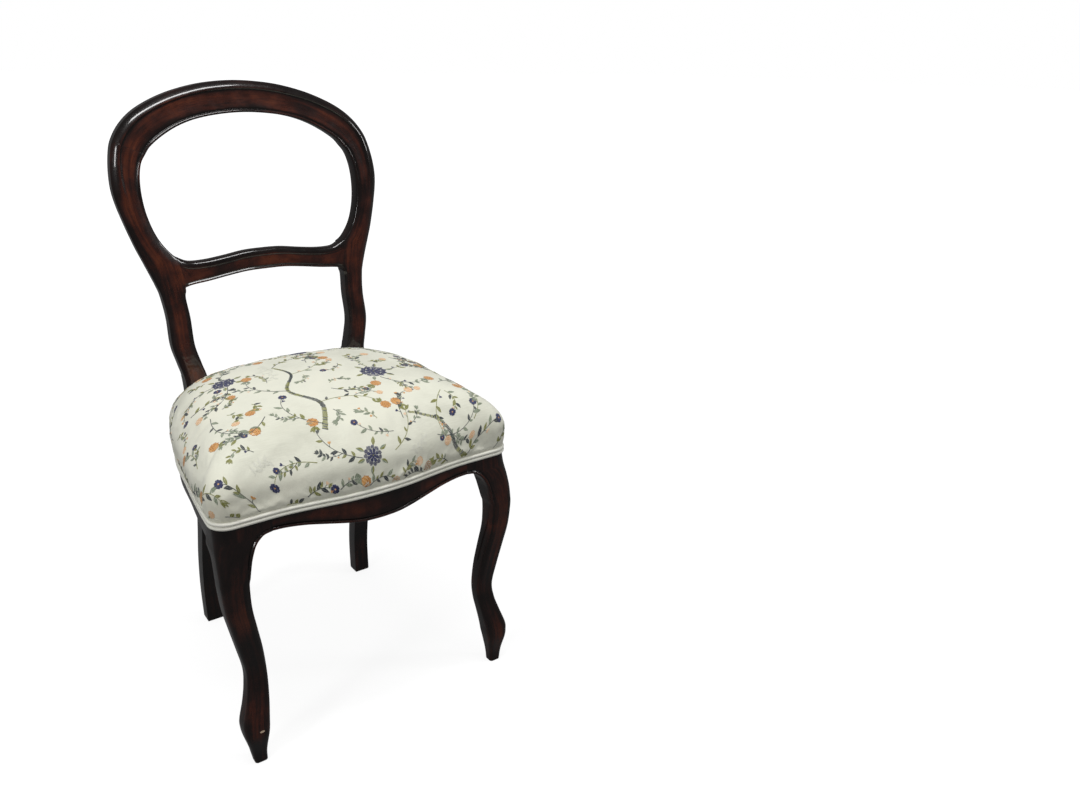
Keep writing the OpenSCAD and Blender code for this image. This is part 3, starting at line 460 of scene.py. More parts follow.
# Rows hold height, outer and inner x, front and back y, radius of the outer corner, and share of the ear
leg_rows = []
for share, side, deep, half_share in leg_shares:
    x, y, half = TOE[0] + LEG_CURVE * side, TOE[1] + LEG_CURVE * deep, KNEE_HALF * half_share
    leg_rows.append([KNEE_H * share, x + half, x - half, y - half, y + half * 0.9, half * 0.5, 0])
knee = leg_rows[-1]
block = [LEDGE, front_half - WOOD_INSET, FRONT_JOINT, WOOD_INSET, SIDE_JOINT, CORNER_R - WOOD_INSET, 1]
ear_shares = [
    (0.26, -0.04, 0.05, -0.015, 0.03, 0.12, 0.2), (0.55, 0.01, 0.11, 0.05, 0.1, 0.27, 0.5),
    (0.79, 0.17, 0.18, 0.2, 0.3, 0.45, 0.8), (1, 0.36, 0.29, 0.4, 1, 0.63, 1),
    (1.4, 0.55, 0.405, 0.66, 1, 0.76, 1), (1.71, 0.68, 0.56, 0.82, 1, 0.85, 1),
    (1.9, 0.75, 0.72, 0.89, 1, 0.9, 1), (2, 0.78, 1, 0.93, 1, 0.92, 1), (2.25, 0.83, 1, 0.95, 1, 0.94, 1)]
ear_rows = [[through(KNEE_H, SIDE_EDGE[0], FRONT_EDGE[1], s[0])]
            + [between(knee[i], block[i], s[i]) for i in range(1, 7)] for s in ear_shares]
EAR_R = 0.2
ear_taper = front_half - side_rows[0][0]
leg_table = np.concatenate([smooth(leg_rows + ear_rows + [block], 8), [[LEDGE + 0.01] + block[1:]]])
# The front of the knee runs evenly up into the face of the rails
knee_top = leg_table[:, 0] > KNEE_H
face_heights = (289, 305, 320, 335, 350, 362, 374.6)
face_places = np.array([(-7.35,), (-7.45,), (-6.3,), (-4.1,), (-1.3,), (1.2,), (3.0,)])
leg_table[knee_top, 3] = [spline(face_places, np.interp(z, face_heights, range(7)))[0]
                          for z in leg_table[knee_top, 0]]
# The bead along the lower edge of the front rail: height above the edge, and depth behind the face
BEAD = np.array([
    (0, 1.6), (0.4, 0.3), (1.1, -0.8), (2.0, -1.3), (2.9, -1.3), (3.8, -0.8), (4.5, 0.3), (4.9, 1.0),
    (5.5, 0.9), (6.4, 0.2), (8.0, 0.0)])


def to_line(points, line):
    """Distances of plane points to a line of points."""
    p, line = np.asarray(points, float), np.asarray(line, float)
    a, ab = line[:-1], np.diff(line, axis=0)
    keep = (ab ** 2).sum(1) > 1e-9
    a, ab = a[keep], ab[keep]
    out = []
    for q in np.array_split(p, max(1, len(p) // 2000)):
        off = q[:, None] - a[None]
        t = np.clip((off * ab).sum(-1) / (ab ** 2).sum(-1), 0, 1)
        out.append(np.linalg.norm(off - ab * t[..., None], axis=-1).min(1))
    return np.concatenate(out)


def smoothstep(low, high, value):
    t = np.clip((value - low) / (high - low), 0, 1)
    return t * t * (3 - 2 * t)


# The edge that the bead follows in the front view, from the rail round the ear and down the leg
ear_line = [(FRONT_JOINT - 30, FRONT_EDGE[1] - 0.6), (FRONT_JOINT, FRONT_EDGE[1])]
ear_line += [(max(r[2], FRONT_JOINT), r[0]) for r in leg_table[::-1] if 120 < r[0] < FRONT_EDGE[1]]

# Places across the leg's front face in parts of 28, from outside to inside, close where the bead runs
FACE_PLACES = (28, 22, 17, 13, 10, 8, 6.8, 6, 5.2, 4.6, 4, 3.3, 2.6, 1.9, 1.3, 0.7)
FACE_POINTS = len(FACE_PLACES) + 6
# The painted highlight of knee and foot lies on the first points, across the front
HIGHLIGHT_POINTS = 12
BEAD_REACH = 8


def leg_ring(r):
    z, x_out, x_in, y_front, y_back, radius, ear = r
    x_in, y_back = max(x_in, FRONT_JOINT), min(y_back, SIDE_JOINT)
    small = between(0.25 * (x_out - x_in), EAR_R, ear)
    x_back = x_out - ear_taper * ear
    round_back = arc(x_in + small, y_back - small, small, 180, 90, 7)
    ear_back = [(x_in, between(y_front, INNER_Y, 0.9)), (x_in, INNER_Y),
                (between(x_in, INNER_X, 0.5), INNER_Y), (INNER_X - EAR_R, INNER_Y), (INNER_X, INNER_Y + EAR_R),
                (INNER_X, between(INNER_Y, y_back, 0.6)), (INNER_X, y_back)]
    inner = [(between(a[0], b[0], ear), between(a[1], b[1], ear)) for a, b in zip(round_back, ear_back)]
    low = x_in + small
    front = [(low + (x_out - radius - low) * share / 28, y_front) for share in FACE_PLACES]
    points = (front + arc(low, y_front + small, small, 270, 180, 6) + inner
              + arc(x_back - small, y_back - small, small, 90, 0, 7)
              + arc(x_out - radius, y_front + radius, radius, 0, -90, 11)[:-1])
    return [(x, y, z) for x, y in points]


def leg_body():
    """The leg with the bead that runs on from the front rail round the ear and fades down the leg."""
    rings = np.array([leg_ring(r) for r in leg_table])
    n, m = rings.shape[:2]
    flat = rings.reshape(-1, 3).copy()
    index, z = np.tile(np.arange(m), n), flat[:, 2]
    on_front = (index < FACE_POINTS) & (z > 160)
    # Beside the joint the ear's face is level with the face of the rail
    level = (1 - smoothstep(FRONT_JOINT, FRONT_JOINT + 32, flat[:, 0])) * smoothstep(320, 348, z) * on_front
    flat[:, 1] += (WOOD_INSET - np.repeat(leg_table[:, 3], m)) * level
    d = np.full(len(flat), np.inf)
    d[on_front] = to_line(flat[on_front][:, [0, 2]], ear_line)
    fade = smoothstep(170, 300, z) * (d < BEAD_REACH)
    d /= between(0.6, 1.0, smoothstep(200, 330, z))
    flat[:, 1] += np.interp(d, BEAD[:, 0], BEAD[:, 1]) * fade
    # Painted highlight on the fronts of knee and foot; painted shade in the groove beside the bead, lighter on
    # the bead itself; the whole leg a little darker
    knee_painted_highlight = 0.8 * smoothstep(150, 240, z) * (1 - smoothstep(300, 350, z))
    foot_painted_highlight = 0.7 * smoothstep(25, 50, z) * (1 - smoothstep(60, 90, z))
    wear_and_painted_light = (np.interp(d, (0, 1, 3, 4.4, 5, 7), (0, 0.6, 0.6, -0.8, -1.4, 0)) * fade
            + np.where(index < HIGHLIGHT_POINTS, knee_painted_highlight + foot_painted_highlight, 0) - 0.2)
    return loft(flat.reshape(n, m, 3), wear_and_painted_light.reshape(n, m))


def right_leg():
    upper = [(FRONT_JOINT, INNER_Y), (INNER_X, INNER_Y), (INNER_X, SIDE_JOINT),
             (front_half - TACK_INSET - ear_taper, SIDE_JOINT)]
    upper += arc(front_half - CORNER_R, CORNER_R, CORNER_R - TACK_INSET, 0, -90, 7)
    upper.append((FRONT_JOINT, TACK_INSET))
    tenon = loft([[(x, y, z) for x, y in upper] for z in (LEDGE - 1, RAIL_TOP)])
    return joined([leg_body(), tenon])


# Seat rails
def front_rail():
    rows = smooth(front_rows, 8)
    rows = np.concatenate([(rows[1:] * [-1, 1, 1])[::-1], rows])
    rings, wear_and_painted_light = [], []
    # Lighter on the worn bead, painted shade in the groove above it, the face worn lighter, and the hidden
    # sides one darker value
    bead_wear_and_shade = (0.0, 0.3, 0.5, 0.5, 0.5, 0.3, -0.4, -1.4, -1.4, -0.4, 0.2)
    bead = [(7.5, 0.6, -0.5), (3.2, 0.0, -0.3)] + [(d, up, w) for (up, d), w in zip(BEAD, bead_wear_and_shade)]
    for x, edge, low in rows:
        face = edge + WOOD_INSET
        ring = [(x, face + d, low + up) for d, up, w in bead]
        ring += [(x, face + 0.25, between(low + 8, LEDGE, s)) for s in (0.3, 0.7)]
        ring += [(x, face, LEDGE - 0.6), (x, face + 0.6, LEDGE), (x, edge + TACK_INSET, LEDGE),
                 (x, edge + TACK_INSET, RAIL_TOP), (x, INNER_Y, RAIL_TOP), (x, INNER_Y, low + 2.5),
                 (x, INNER_Y - 1.5, low + 1.0)]
        rings.append(ring)
        wear_and_painted_light.append([w for _, _, w in bead] + [0.75, 0.45, -0.2] + [-0.4] * 6)
    return loft(rings, wear_and_painted_light)


def side_edge(y, end):
    share = (y - SIDE_JOINT) / (end - SIDE_JOINT)
    arch = np.interp(share, np.linspace(0, 1, 9), (0, 0.44, 0.75, 0.94, 1, 0.94, 0.75, 0.44, 0))
    return between(SIDE_EDGE[0], SIDE_EDGE[1], share) + SIDE_EDGE[2] * arch


SIDE_SEAT = POST_IN + POST_W * 0.35
BLOCK_END = INNER_Y + 44.0
LIP_END = BACK_Y - POST_T * 0.27


def side_inner(y):
    return np.interp(y, (0, BLOCK_END, POST_FRONT_Y), (INNER_X, INNER_X, SIDE_SEAT))


def right_side_rail():
    path = np.concatenate([corner_arc[-1:], side_line])
    outer, tack = moved(path, -WOOD_INSET), moved(path, -TACK_INSET)

    def rail(ys, inner):
        rings = []
        for y in ys:
            x = np.interp(y, outer[:, 1], outer[:, 0])
            t = np.interp(y, tack[:, 1], tack[:, 0])
            low, inside = side_edge(y, LIP_END), inner(y)
            t = max(t, inside + 0.4)
            rings.append([(p[0], y, p[1]) for p in [
                (inside, low + 0.8), (inside + 0.8, low), (between(inside, x, 0.5), low), (x - 3.5, low),
                (x - 1.5, low + 0.6), (x - 0.4, low + 1.8), (x, low + 3.6), (x, between(low, LEDGE, 0.5)),
                (x, LEDGE - 0.6), (x - 0.6, LEDGE), (t, LEDGE), (t, RAIL_TOP), (inside, RAIL_TOP)]])
        return loft(rings)
    ys = np.linspace(SIDE_JOINT, POST_FRONT_Y, 40)
    lip = np.linspace(POST_FRONT_Y - 0.5, LIP_END, 14)
    return joined([rail(ys, side_inner), rail(lip, lambda y: POST_HALF - 0.4)])


# Back posts, crest rail and cross rail
lean_shares = (0, 0.067, 0.145, 0.275, 0.347, 0.445, 0.576, 0.765, 1)
sweep_shares = (1, 0.97, 0.75, 0.4, 0.12, 0)


def along(values, share):
    return float(spline(np.array(values)[:, None], min(max(share, 0), 1) * (len(values) - 1))[0])


def lean_y(z):
    if z < POST_BLOCK:
        return POST_Y + FOOT_SWEEP * along(sweep_shares, z / POST_BLOCK)
    if z < RAIL_TOP:
        return POST_Y
    return POST_Y + CREST_LEAN * along(lean_shares, (z - RAIL_TOP) / (CHAIR_H - RAIL_TOP))


def leaning(flat, deep):
    """Points of the back from its front view and their depths behind its middle."""
    return np.stack([flat[:, 0], deep + np.array([lean_y(z) for z in flat[:, 1]]), flat[:, 1]], 1)


# Rows hold outer x and z, inner x and z, and thickness
back_leg_shares = [(0, 0), (0.17, 0), (0.34, 0.03), (0.5, 0.1), (0.68, 0.3), (0.84, 0.65), (1, 1)]
back_leg_rows = []
for share, grown in back_leg_shares:
    x = between(BACK_FOOT[0], POST_HALF - POST_W / 2, grown)
    half = between(BACK_FOOT[1], POST_W, grown) / 2
    back_leg_rows.append([x + half, POST_BLOCK * share, x - half, POST_BLOCK * share,
                          between(BACK_FOOT[1], POST_T, grown)])
block_row = [POST_HALF, RAIL_TOP, POST_IN, RAIL_TOP, POST_T]
upright_shares = [
    (0.194, 0, 1), (0.33, 0.13, 0.97), (0.437, 0.55, 0.95), (0.583, 1.05, 0.95), (0.777, 1, 0.94),
    (0.932, 1.2, 0.97)]
upright_rows = []
for share, out, wide in upright_shares:
    x, half = between(POST_HALF, WAIST_HALF, out) - POST_W / 2, POST_W * wide / 2
    z = between(RAIL_TOP, CROSS_H, share)
    upright_rows.append([x + half, z, x - half, z, between(POST_T, BALLOON_T, min(1, share / 0.583))])
JOINT_TOP = CROSS_H + CROSS_JOINT_D
joint_rows = [
    [between(WAIST_HALF, BALLOON_HALF, 0.137), between(CROSS_H, JOINT_TOP, 0.1),
     CROSS_JOINT, CROSS_H, BALLOON_T],
    [between(WAIST_HALF, BALLOON_HALF, 0.44), between(JOINT_TOP, WIDEST, 0.02),
     CROSS_JOINT, JOINT_TOP, BALLOON_T]]
balloon_shares = [
    (0.572, 0.188, 0.259, 0.074), (0.69, 0.366, 0.58, 0.2475), (0.82, 0.584, 0.802, 0.45),
    (0.946, 0.832, 0.951, 0.703), (1, 1.026, 1, 0.96), (0.973, 1.179, 0.963, 1.183),
    (0.878, 1.338, 0.84, 1.365), (0.73, 1.466, 0.64, 1.482)]
crest_shares = [
    (0.872, 1.603, 0.857, 1.588), (0.7694, 1.724, 0.742, 1.718), (0.6286, 1.8265, 0.599, 1.837),
    (0.459, 1.911, 0.437, 1.922), (0.243, 1.976, 0.231, 1.978), (0, 2, 0, 2)]
balloon_rows, crest_rows = (
    [[between(waist, BALLOON_HALF, s[0]), through(JOINT_TOP, WIDEST, CHAIR_H, s[1]),
      between(joint, OPENING_HALF, s[2]), through(JOINT_TOP, WIDEST, CHAIR_H - CREST_D, s[3]), BALLOON_T]
     for s in shares]
    for waist, joint, shares in ((WAIST_HALF, CROSS_JOINT, balloon_shares), (0, 0, crest_shares)))
right_rows = [block_row] + upright_rows + joint_rows + balloon_rows + crest_rows
left_rows = [[-r[0], r[1], -r[2], r[3], r[4]] for r in right_rows[-2::-1]]
BACK_STEPS = 12
back_table = smooth(right_rows + left_rows, BACK_STEPS)
cross_place = (1 + len(upright_rows)) * BACK_STEPS
shoulder_place = (len(right_rows) - len(crest_rows) - 1) * BACK_STEPS
back_table[cross_place:cross_place + BACK_STEPS + 1, 2] = CROSS_JOINT
cross_shares = [
    (0, 1, 0), (0.234, 0.96, -0.03), (0.469, 0.71, -0.1), (0.703, 0.39, 0), (0.898, 0.19, 0.27), (1, 0, 1)]
cross_half = []
for share, up, grown in cross_shares:
    low = CROSS_H + CROSS_RISE * up
    cross_half.append([CROSS_JOINT * share, low, low + between(CROSS_D, CROSS_JOINT_D, grown)])
cross_table = smooth([[-r[0], r[1], r[2]] for r in cross_half[:0:-1]] + cross_half, 10)
# The lower corner of the opening runs on from the top edge of the cross rail
corner = [(cross_half[-2][0], cross_half[-2][2]), (CROSS_JOINT, JOINT_TOP)] + [r[2:4] for r in balloon_rows[:2]]
for k in range(1, BACK_STEPS):
    back_table[cross_place + BACK_STEPS + k, 2:4] = spline(corner, 1 + k / BACK_STEPS)

# The edges that the mouldings follow, on the right half: outer edge, opening, and gap under the cross rail
right_half = back_table[:(len(right_rows) - 1) * BACK_STEPS + 3]
right_cross = cross_table[cross_table[:, 0] > -12]
outer_line = right_half[:, :2]
opening_line = np.concatenate([right_cross[:, [0, 2]], right_half[cross_place + BACK_STEPS:, 2:4]])
gap_line = np.concatenate([right_cross[:, [0, 1]], right_half[:cross_place + 1, 2:4][::-1]])


def smooth_table(rows, step=0.05):
    """Columns of a table over its first column, as smooth curves that don't overshoot."""
    rows = np.asarray(rows, float)
    x = rows[:, 0]
    fine = np.arange(x[0], x[-1], step)
    out = [fine]
    for y in rows[:, 1:].T:
        h, d = np.diff(x), np.diff(y) / np.diff(x)
        slope = np.zeros(len(x))
        same = d[:-1] * d[1:] > 0
        w1, w2 = 2 * h[1:] + h[:-1], h[1:] + 2 * h[:-1]
        slope[1:-1][same] = ((w1 + w2)[same] / (w1[same] / d[:-1][same] + w2[same] / d[1:][same]))
        i = np.clip(np.searchsorted(x, fine, "right") - 1, 0, len(h) - 1)
        t = (fine - x[i]) / h[i]
        out.append((1 + 2 * t) * (1 - t) ** 2 * y[i] + t * (1 - t) ** 2 * h[i] * slope[i]
                   + t * t * (3 - 2 * t) * y[i + 1] + t * t * (t - 1) * h[i] * slope[i + 1])
    return np.stack(out, 1)


# Mouldings: distance from the edge, depth behind the highest line, and wear with painted shade, from -1,
# painted shade in a recess or on an edge that turns away, to 1, a worn face
crest_outside = smooth_table([
    (0, 8.4, -0.4), (1, 6.6, -0.7), (2.5, 4.6, -0.9), (4.5, 2.5, -0.9), (7, 0.8, -0.5), (9, 0.12, 0),
    (10.2, 0, 0.3), (10.9, 0.4, -0.2), (11.7, 1.4, -1.3), (12.7, 1.9, -0.5), (15, 2.2, 0.4),
    (20, 2.7, 0.8), (60, 2.8, 0.8)])
crest_inside = smooth_table([
    (0, 4.4, -0.5), (0.5, 2.7, 0), (1.4, 1.2, 0.1), (2.4, 0.9, 0.2), (3.4, 1.2, 0), (4.5, 2.4, -1),
    (5.2, 3.1, -1.6), (6.0, 2.8, -1), (7.5, 2.4, 0), (12, 2.5, 0.6), (20, 2.8, 0.8), (60, 2.8, 0.8)])
cross_top = smooth_table([
    (0, 4.3, -0.7), (0.5, 3.3, -0.9), (2.6, 1.2, -1), (4.2, 0.55, -1), (6, 0.2, -0.6), (8, 0, 0.2),
    (8.6, 0.1, 0.2), (9.2, 0.6, -0.6), (10, 0.8, 0.3), (12, 0.75, 0.9), (60, 0.75, 0.9)])
cross_bottom = smooth_table([
    (0, 3.2, -0.4), (0.5, 1.2, 0), (1.3, 0.1, 0.2), (2.1, -0.2, 0.3), (3, 0.1, 0), (3.8, 0.9, -1.2),
    (4.4, 1.4, -1.8), (5, 1.0, -0.8), (6, 0.7, 0.5), (12, 0.75, 0.9), (60, 0.75, 0.9)])


def moulding(table, d):
    return np.interp(d, table[:, 0], table[:, 1]), np.interp(d, table[:, 0], table[:, 2])


def fall(d, reach, power=1.0):
    """1 at the edge, and nothing from reach on."""
    return np.clip(1 - d / reach, 0, 1) ** power


def back_front(x, z, half_thick):
    """Depth of the front face behind the middle of the back, negative to the front, and wear with painted
    shade.
    """
    x = np.abs(x)
    points = np.stack([x, z], 1)
    d_out, d_in, d_gap = (to_line(points, line) for line in (outer_line, opening_line, gap_line))
    crest_share = smoothstep(705, 790, z)
    spread = between(1.5, 1.0, smoothstep(700, 815, z))
    outside, inside = moulding(crest_outside, d_out / spread), moulding(crest_inside, d_in)
    turn = smoothstep(0.42, 0.58, d_out / (d_out + d_in + 1e-9))
    crest_form = [between(a, b, turn) for a, b in zip(outside, inside)]
    cove = 4.5 * fall(d_in, 15, 1.5) + 2.6 * fall(d_in, 1.5, 2)
    stile_drop = 9.5 * fall(d_out, 16, 2) + cove
    # Painted shade: darker towards the stile's outer edge and into the cove of the opening
    stile_wear_and_shade = 0.95 - 1.7 * fall(d_out, 15, 1.3) - 1.9 * fall(d_in, 14, 1.2)
    lower = 1 - smoothstep(585, 640, z)
    post_drop = 7 * fall(d_out, 9, 2) + 5 * fall(d_gap, 8, 2)
    # Painted shade: darker towards both edges of the post, where it rounds away
    post_wear_and_shade = 0.75 - 1.2 * fall(d_out, 10) - 1.3 * fall(d_gap, 10)
    square_drop = 1.3 * (fall(d_out, 1.6, 2) + fall(d_gap, 1.6, 2))
    foot_drop = 4.5 * (fall(d_out, 6.5, 2) + fall(d_gap, 6.5, 2))
    above = smoothstep(415, 470, z)
    below = 1 - smoothstep(215, 300, z)
    post_drop = between(between(square_drop, foot_drop, below), post_drop, above)
    # Low down the post is one even darker value
    post_wear_and_shade = between(np.full(len(z), -0.5), post_wear_and_shade, above)
    drop = between(between(stile_drop, post_drop, lower), crest_form[0], crest_share)
    wear_and_painted_light = between(between(stile_wear_and_shade, post_wear_and_shade, lower), crest_form[1], crest_share)
    cross_share = (1 - smoothstep(117, 143, x)) * smoothstep(598, 608, z) * (1 - smoothstep(700, 740, z))
    top, bottom = moulding(cross_top, d_in), moulding(cross_bottom, d_gap)
    turn = smoothstep(0.45, 0.6, d_in / (d_in + d_gap + 1e-9))
    cross_form = [between(a, b, turn) for a, b in zip(top, bottom)]
    drop = between(drop, cross_form[0] + 4, cross_share)
    wear_and_painted_light = between(wear_and_painted_light, cross_form[1], cross_share)
    return drop - half_thick, wear_and_painted_light


# Places across a ring, in millimetres from each edge
OUT_PLACES = (0, 0.35, 1, 2, 3.2, 4.6, 6.2, 8, 9.4, 10.2, 10.8, 11.4, 12.2, 13.4, 15)
IN_PLACES = (13.5, 11, 9, 7.6, 6.6, 5.9, 5.2, 4.6, 3.9, 3.1, 2.3, 1.5, 0.8, 0.3, 0)
MIDDLE = 5
BACK_PLACES = ((0, 4.5), (0.4, 2.6), (1.5, 1.1), (3.2, 0.25), (5.2, 0))


def back_rings(table):
    flat, deep, fixed = [], [], []
    for xo, zo, xi, zi, thick in table:
        outer, inner = np.array([xo, zo]), np.array([xi, zi])
        wide = np.linalg.norm(inner - outer)
        size = min(1, wide / 33.0)
        at = [d * size for d in OUT_PLACES]
        ends = at[-1], wide - IN_PLACES[0] * size
        at += [between(*ends, (k + 1) / (MIDDLE + 1)) for k in range(MIDDLE)]
        at += [wide - d * size for d in IN_PLACES]
        soft = 1.0 if zo > 470 or zo < 240 else 0.4
        back = [(wide - d * soft, thick / 2 - up * soft) for d, up in BACK_PLACES]
        back += [(wide / 2, thick / 2)] + [(d * soft, thick / 2 - up * soft) for d, up in BACK_PLACES[::-1]]
        for d, y in [(d, math.nan) for d in at] + back:
            flat.append(between(outer, inner, d / wide))
            fixed.append(y)
            deep.append(thick / 2)
    flat, fixed, deep = np.array(flat), np.array(fixed), np.array(deep)
    drop, wear_and_painted_light = back_front(flat[:, 0], flat[:, 1], deep)
    behind = ~np.isnan(fixed)
    points = leaning(flat, np.where(behind, fixed, drop))
    # The back of each ring takes one even darker value
    wear_and_painted_light = np.where(behind, -0.45, wear_and_painted_light)
    m = len(at) + len(back)
    return points.reshape(-1, m, 3), wear_and_painted_light.reshape(-1, m)


def seam(rings, wear_and_painted_light):
    """A fine dark line at the start of a loft, where a joint shows."""
    middle = rings[0].mean(0)
    ends = [middle + (rings[0] - middle) * 0.994, between(rings[0], rings[1], 0.06)]
    return np.concatenate([ends, rings[1:]]), np.concatenate([[np.full_like(wear_and_painted_light[0], -2.5)], wear_and_painted_light])


def end_seam(rings, wear_and_painted_light):
    rings, wear_and_painted_light = seam(rings[::-1], wear_and_painted_light[::-1])
    return rings[::-1], wear_and_painted_light[::-1]


def right_post():
    table = [list(r) for r in back_table[:shoulder_place + 1]]
    rounded = []
    for up, share in ((0, 0.84), (0.7, 0.92), (1.8, 0.975), (3.5, 1)):
        r = list(back_leg_rows[0])
        middle, half = (r[0] + r[2]) / 2, (r[0] - r[2]) / 2 * share
        rounded.append([middle + half, up, middle - half, up, r[4] * share])
    foot = [r for r in smooth(back_leg_rows, BACK_STEPS)[1:] if r[1] > 4]
    return loft(*end_seam(*back_rings(rounded + foot + table[1:])))


def crest():
    return loft(*end_seam(*seam(*back_rings(back_table[shoulder_place:len(back_table) - shoulder_place]))))


# Places across the cross rail, in millimetres from its lower and its upper edge
LOW_PLACES = (0, 0.3, 0.7, 1.2, 1.8, 2.5, 3.1, 3.6, 4.0, 4.4, 4.9, 5.5, 6.5, 8.5)
TOP_PLACES = (12, 10.4, 9.7, 9.2, 8.8, 8.3, 7.4, 6.2, 4.8, 3.4, 2.2, 1.2, 0.5, 0)
CROSS_BACK = ((0, 3.0), (0.5, 1.2), (1.8, 0.2), (4, 0))


def cross():
    flat = []
    for x, low, high in cross_table:
        at = [low + d for d in LOW_PLACES]
        ends = at[-1], high - TOP_PLACES[0]
        at += [between(*ends, k / 4) for k in (1, 2, 3)] + [high - d for d in TOP_PLACES]
        flat += [(x, z) for z in at]
    flat = np.array(flat)
    drop, wear_and_painted_light = back_front(flat[:, 0], flat[:, 1], np.full(len(flat), BALLOON_T / 2))
    m = len(at)
    front = leaning(flat, drop).reshape(-1, m, 3)
    rings, wear_and_shade_rows = [], []
    for ring, row, (x, low, high) in zip(front, wear_and_painted_light.reshape(-1, m), cross_table):
        back = [(high - d, up) for d, up in CROSS_BACK] + [(low + d, up) for d, up in CROSS_BACK[::-1]]
        rings.append(np.concatenate([ring, [(x, lean_y(z) + CROSS_T / 2 - up, z) for z, up in back]]))
        # Front values come from the moulding tables, with painted shade in the grooves; the back takes one even
        # darker value
        wear_and_shade_rows.append(np.concatenate([row, np.full(len(back), -0.5)]))
    return loft(rings, wear_and_shade_rows)


post, leg, side_rail = right_post(), right_leg(), right_side_rail()
# Each wooden piece with the node that it replaces, and a shift along the grain so that no two look alike
for name, node_name, part, shift in (
        ("right_post_wood", "right_back_post", post, 0.0),
        ("left_post_wood", "left_back_post", mirrored(post), 1.3),
        ("crest_wood", "crest_rail", crest(), 2.1),
        ("cross_rail_wood", "cross_rail", cross(), 3.7),
        ("right_leg_wood", "right_front_leg", leg, 4.2),
        ("left_leg_wood", "left_front_leg", mirrored(leg), 5.9),
        ("front_rail_wood", "front_seat_rail", front_rail(), 6.3),
        ("right_rail_wood", "right_seat_rail", side_rail, 7.1),
        ("left_rail_wood", "left_seat_rail", mirrored(side_rail), 8.4)):
    points, faces, grain, wear_and_painted_light = part
    piece = new_object(name, to_model(points), faces, POLISHED, grain + [shift, 0, 0], wear_and_painted_light, [node_name])
    sharpen(piece, SHARP_WOOD)

# Carried-over nodes get their materials
def paint(piece, finish):
    piece.data.materials.clear()
    piece.data.materials.append(finish)


for finish, names in (
        (POLISHED, "back_seat_rail"),
        (BLOCK_WOOD, "left_front_block right_front_block left_back_block right_back_block"),
        (DOWEL_WOOD, "crest_dowels cross_rail_dowels front_rail_dowels side_rail_dowels back_rail_dowels"),
        (SCREW_STEEL, "corner_block_screws"), (WEBBING, "lengthwise_webbing crosswise_webbing"),
        (TACK_STEEL, "webbing_tacks"), (HESSIAN, "hessian")):
    for name in names.split():
        paint(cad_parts[name], finish)

# The seat: stuffing and cover as one padded form
seat_rows = [
    (0.5, -1.9, -0.03), (0.97, -1.9, -0.03), (1, -1.0, 0.03), (1, -0.75, 0.08), (1, -0.1, 0.12),
    (1, 0.55, 0.21), (1, 1, 0.33), (0.995, 0.95, 0.43), (0.972, 0.6, 0.56), (0.925, 0.1, 0.68),
    (0.84, 0, 0.79), (0.68, 0, 0.895), (0.45, 0, 0.965), (0.2, 0, 0.997), (0.02, 0, 1.0)]
seat_middle = np.array([0, SEAT_D * 0.57])
SIDE_BULGE = 4.0
START_SMALLER = 2.5
PAD_FLOOR = LEDGE + 4 * CORD_R


def seat_ring(s):
    x, y = closed_edge.T
    side = smoothstep(0.45, 0.95, np.abs(x) / front_half) * smoothstep(40, 110, y)
    away = moved(closed_edge, 1.0, True) - closed_edge
    further = (BULGE + SIDE_BULGE * side) * s[1] - START_SMALLER * smoothstep(0.1, 0.3, s[2])
    way = closed_edge + away * further[:, None] - seat_middle
    turn = np.arctan2(way[:, 1] / SEAT_D, way[:, 0] / FRONT_W)
    oval = np.stack([FRONT_W * np.cos(turn), SEAT_D * np.sin(turn)], 1) / 2
    spot = seat_middle + s[0] * between(oval, way, s[0] ** 2)
    z = between(LEDGE, CROWN, s[2]) - START_SMALLER * smoothstep(0.4, 0.7, s[2])
    return np.concatenate([spot, np.full((len(spot), 1), z)], 1)


def seat_form():
    return loft([seat_ring(s) for s in smooth([list(s) for s in seat_rows], 4)])


# Heights in the seat, and how far back the front of the leaning post is there
POST_LEAN = ((RAIL_TOP, 0), (RAIL_TOP + 60, 4), (CROWN + 30, 12))


def post_cutter(sign):
    """The room of a back post in the seat, open to the back."""
    low, high, front, back = POST_IN - 0.8, POST_HALF + 0.8, POST_FRONT_Y - 0.8, BACK_Y + 40
    rings = []
    for z, lean in ((LEDGE - 30, 0),) + POST_LEAN:
        rings.append([(sign * x, y, z) for x, y in
                      ((low, front + lean), (high, front + lean), (high, back), (low, back))])
    p, f, _, _ = loft(rings)
    return new_object("cutter", to_model(p), f, COTTON)


def evaluated(piece):
    return bpy.data.meshes.new_from_object(piece.evaluated_get(bpy.context.evaluated_depsgraph_get()))


def applied(piece, drop=()):
    """Puts the piece's modifiers into its mesh, and removes helper objects."""
    mesh = evaluated(piece)
    piece.modifiers.clear()
    piece.data = mesh
    for helper in drop:
        bpy.data.objects.remove(helper)


def points_of(mesh):
    out = np.empty(len(mesh.vertices) * 3, np.float32)
    mesh.vertices.foreach_get("co", out)
    return out.reshape(-1, 3).astype(float)


def set_points(mesh, points):
    mesh.vertices.foreach_set("co", np.asarray(points, np.float32).ravel())
    mesh.update()


PRESSURE, FRAMES, FURTHEST = 4.0, 20, 0.0048


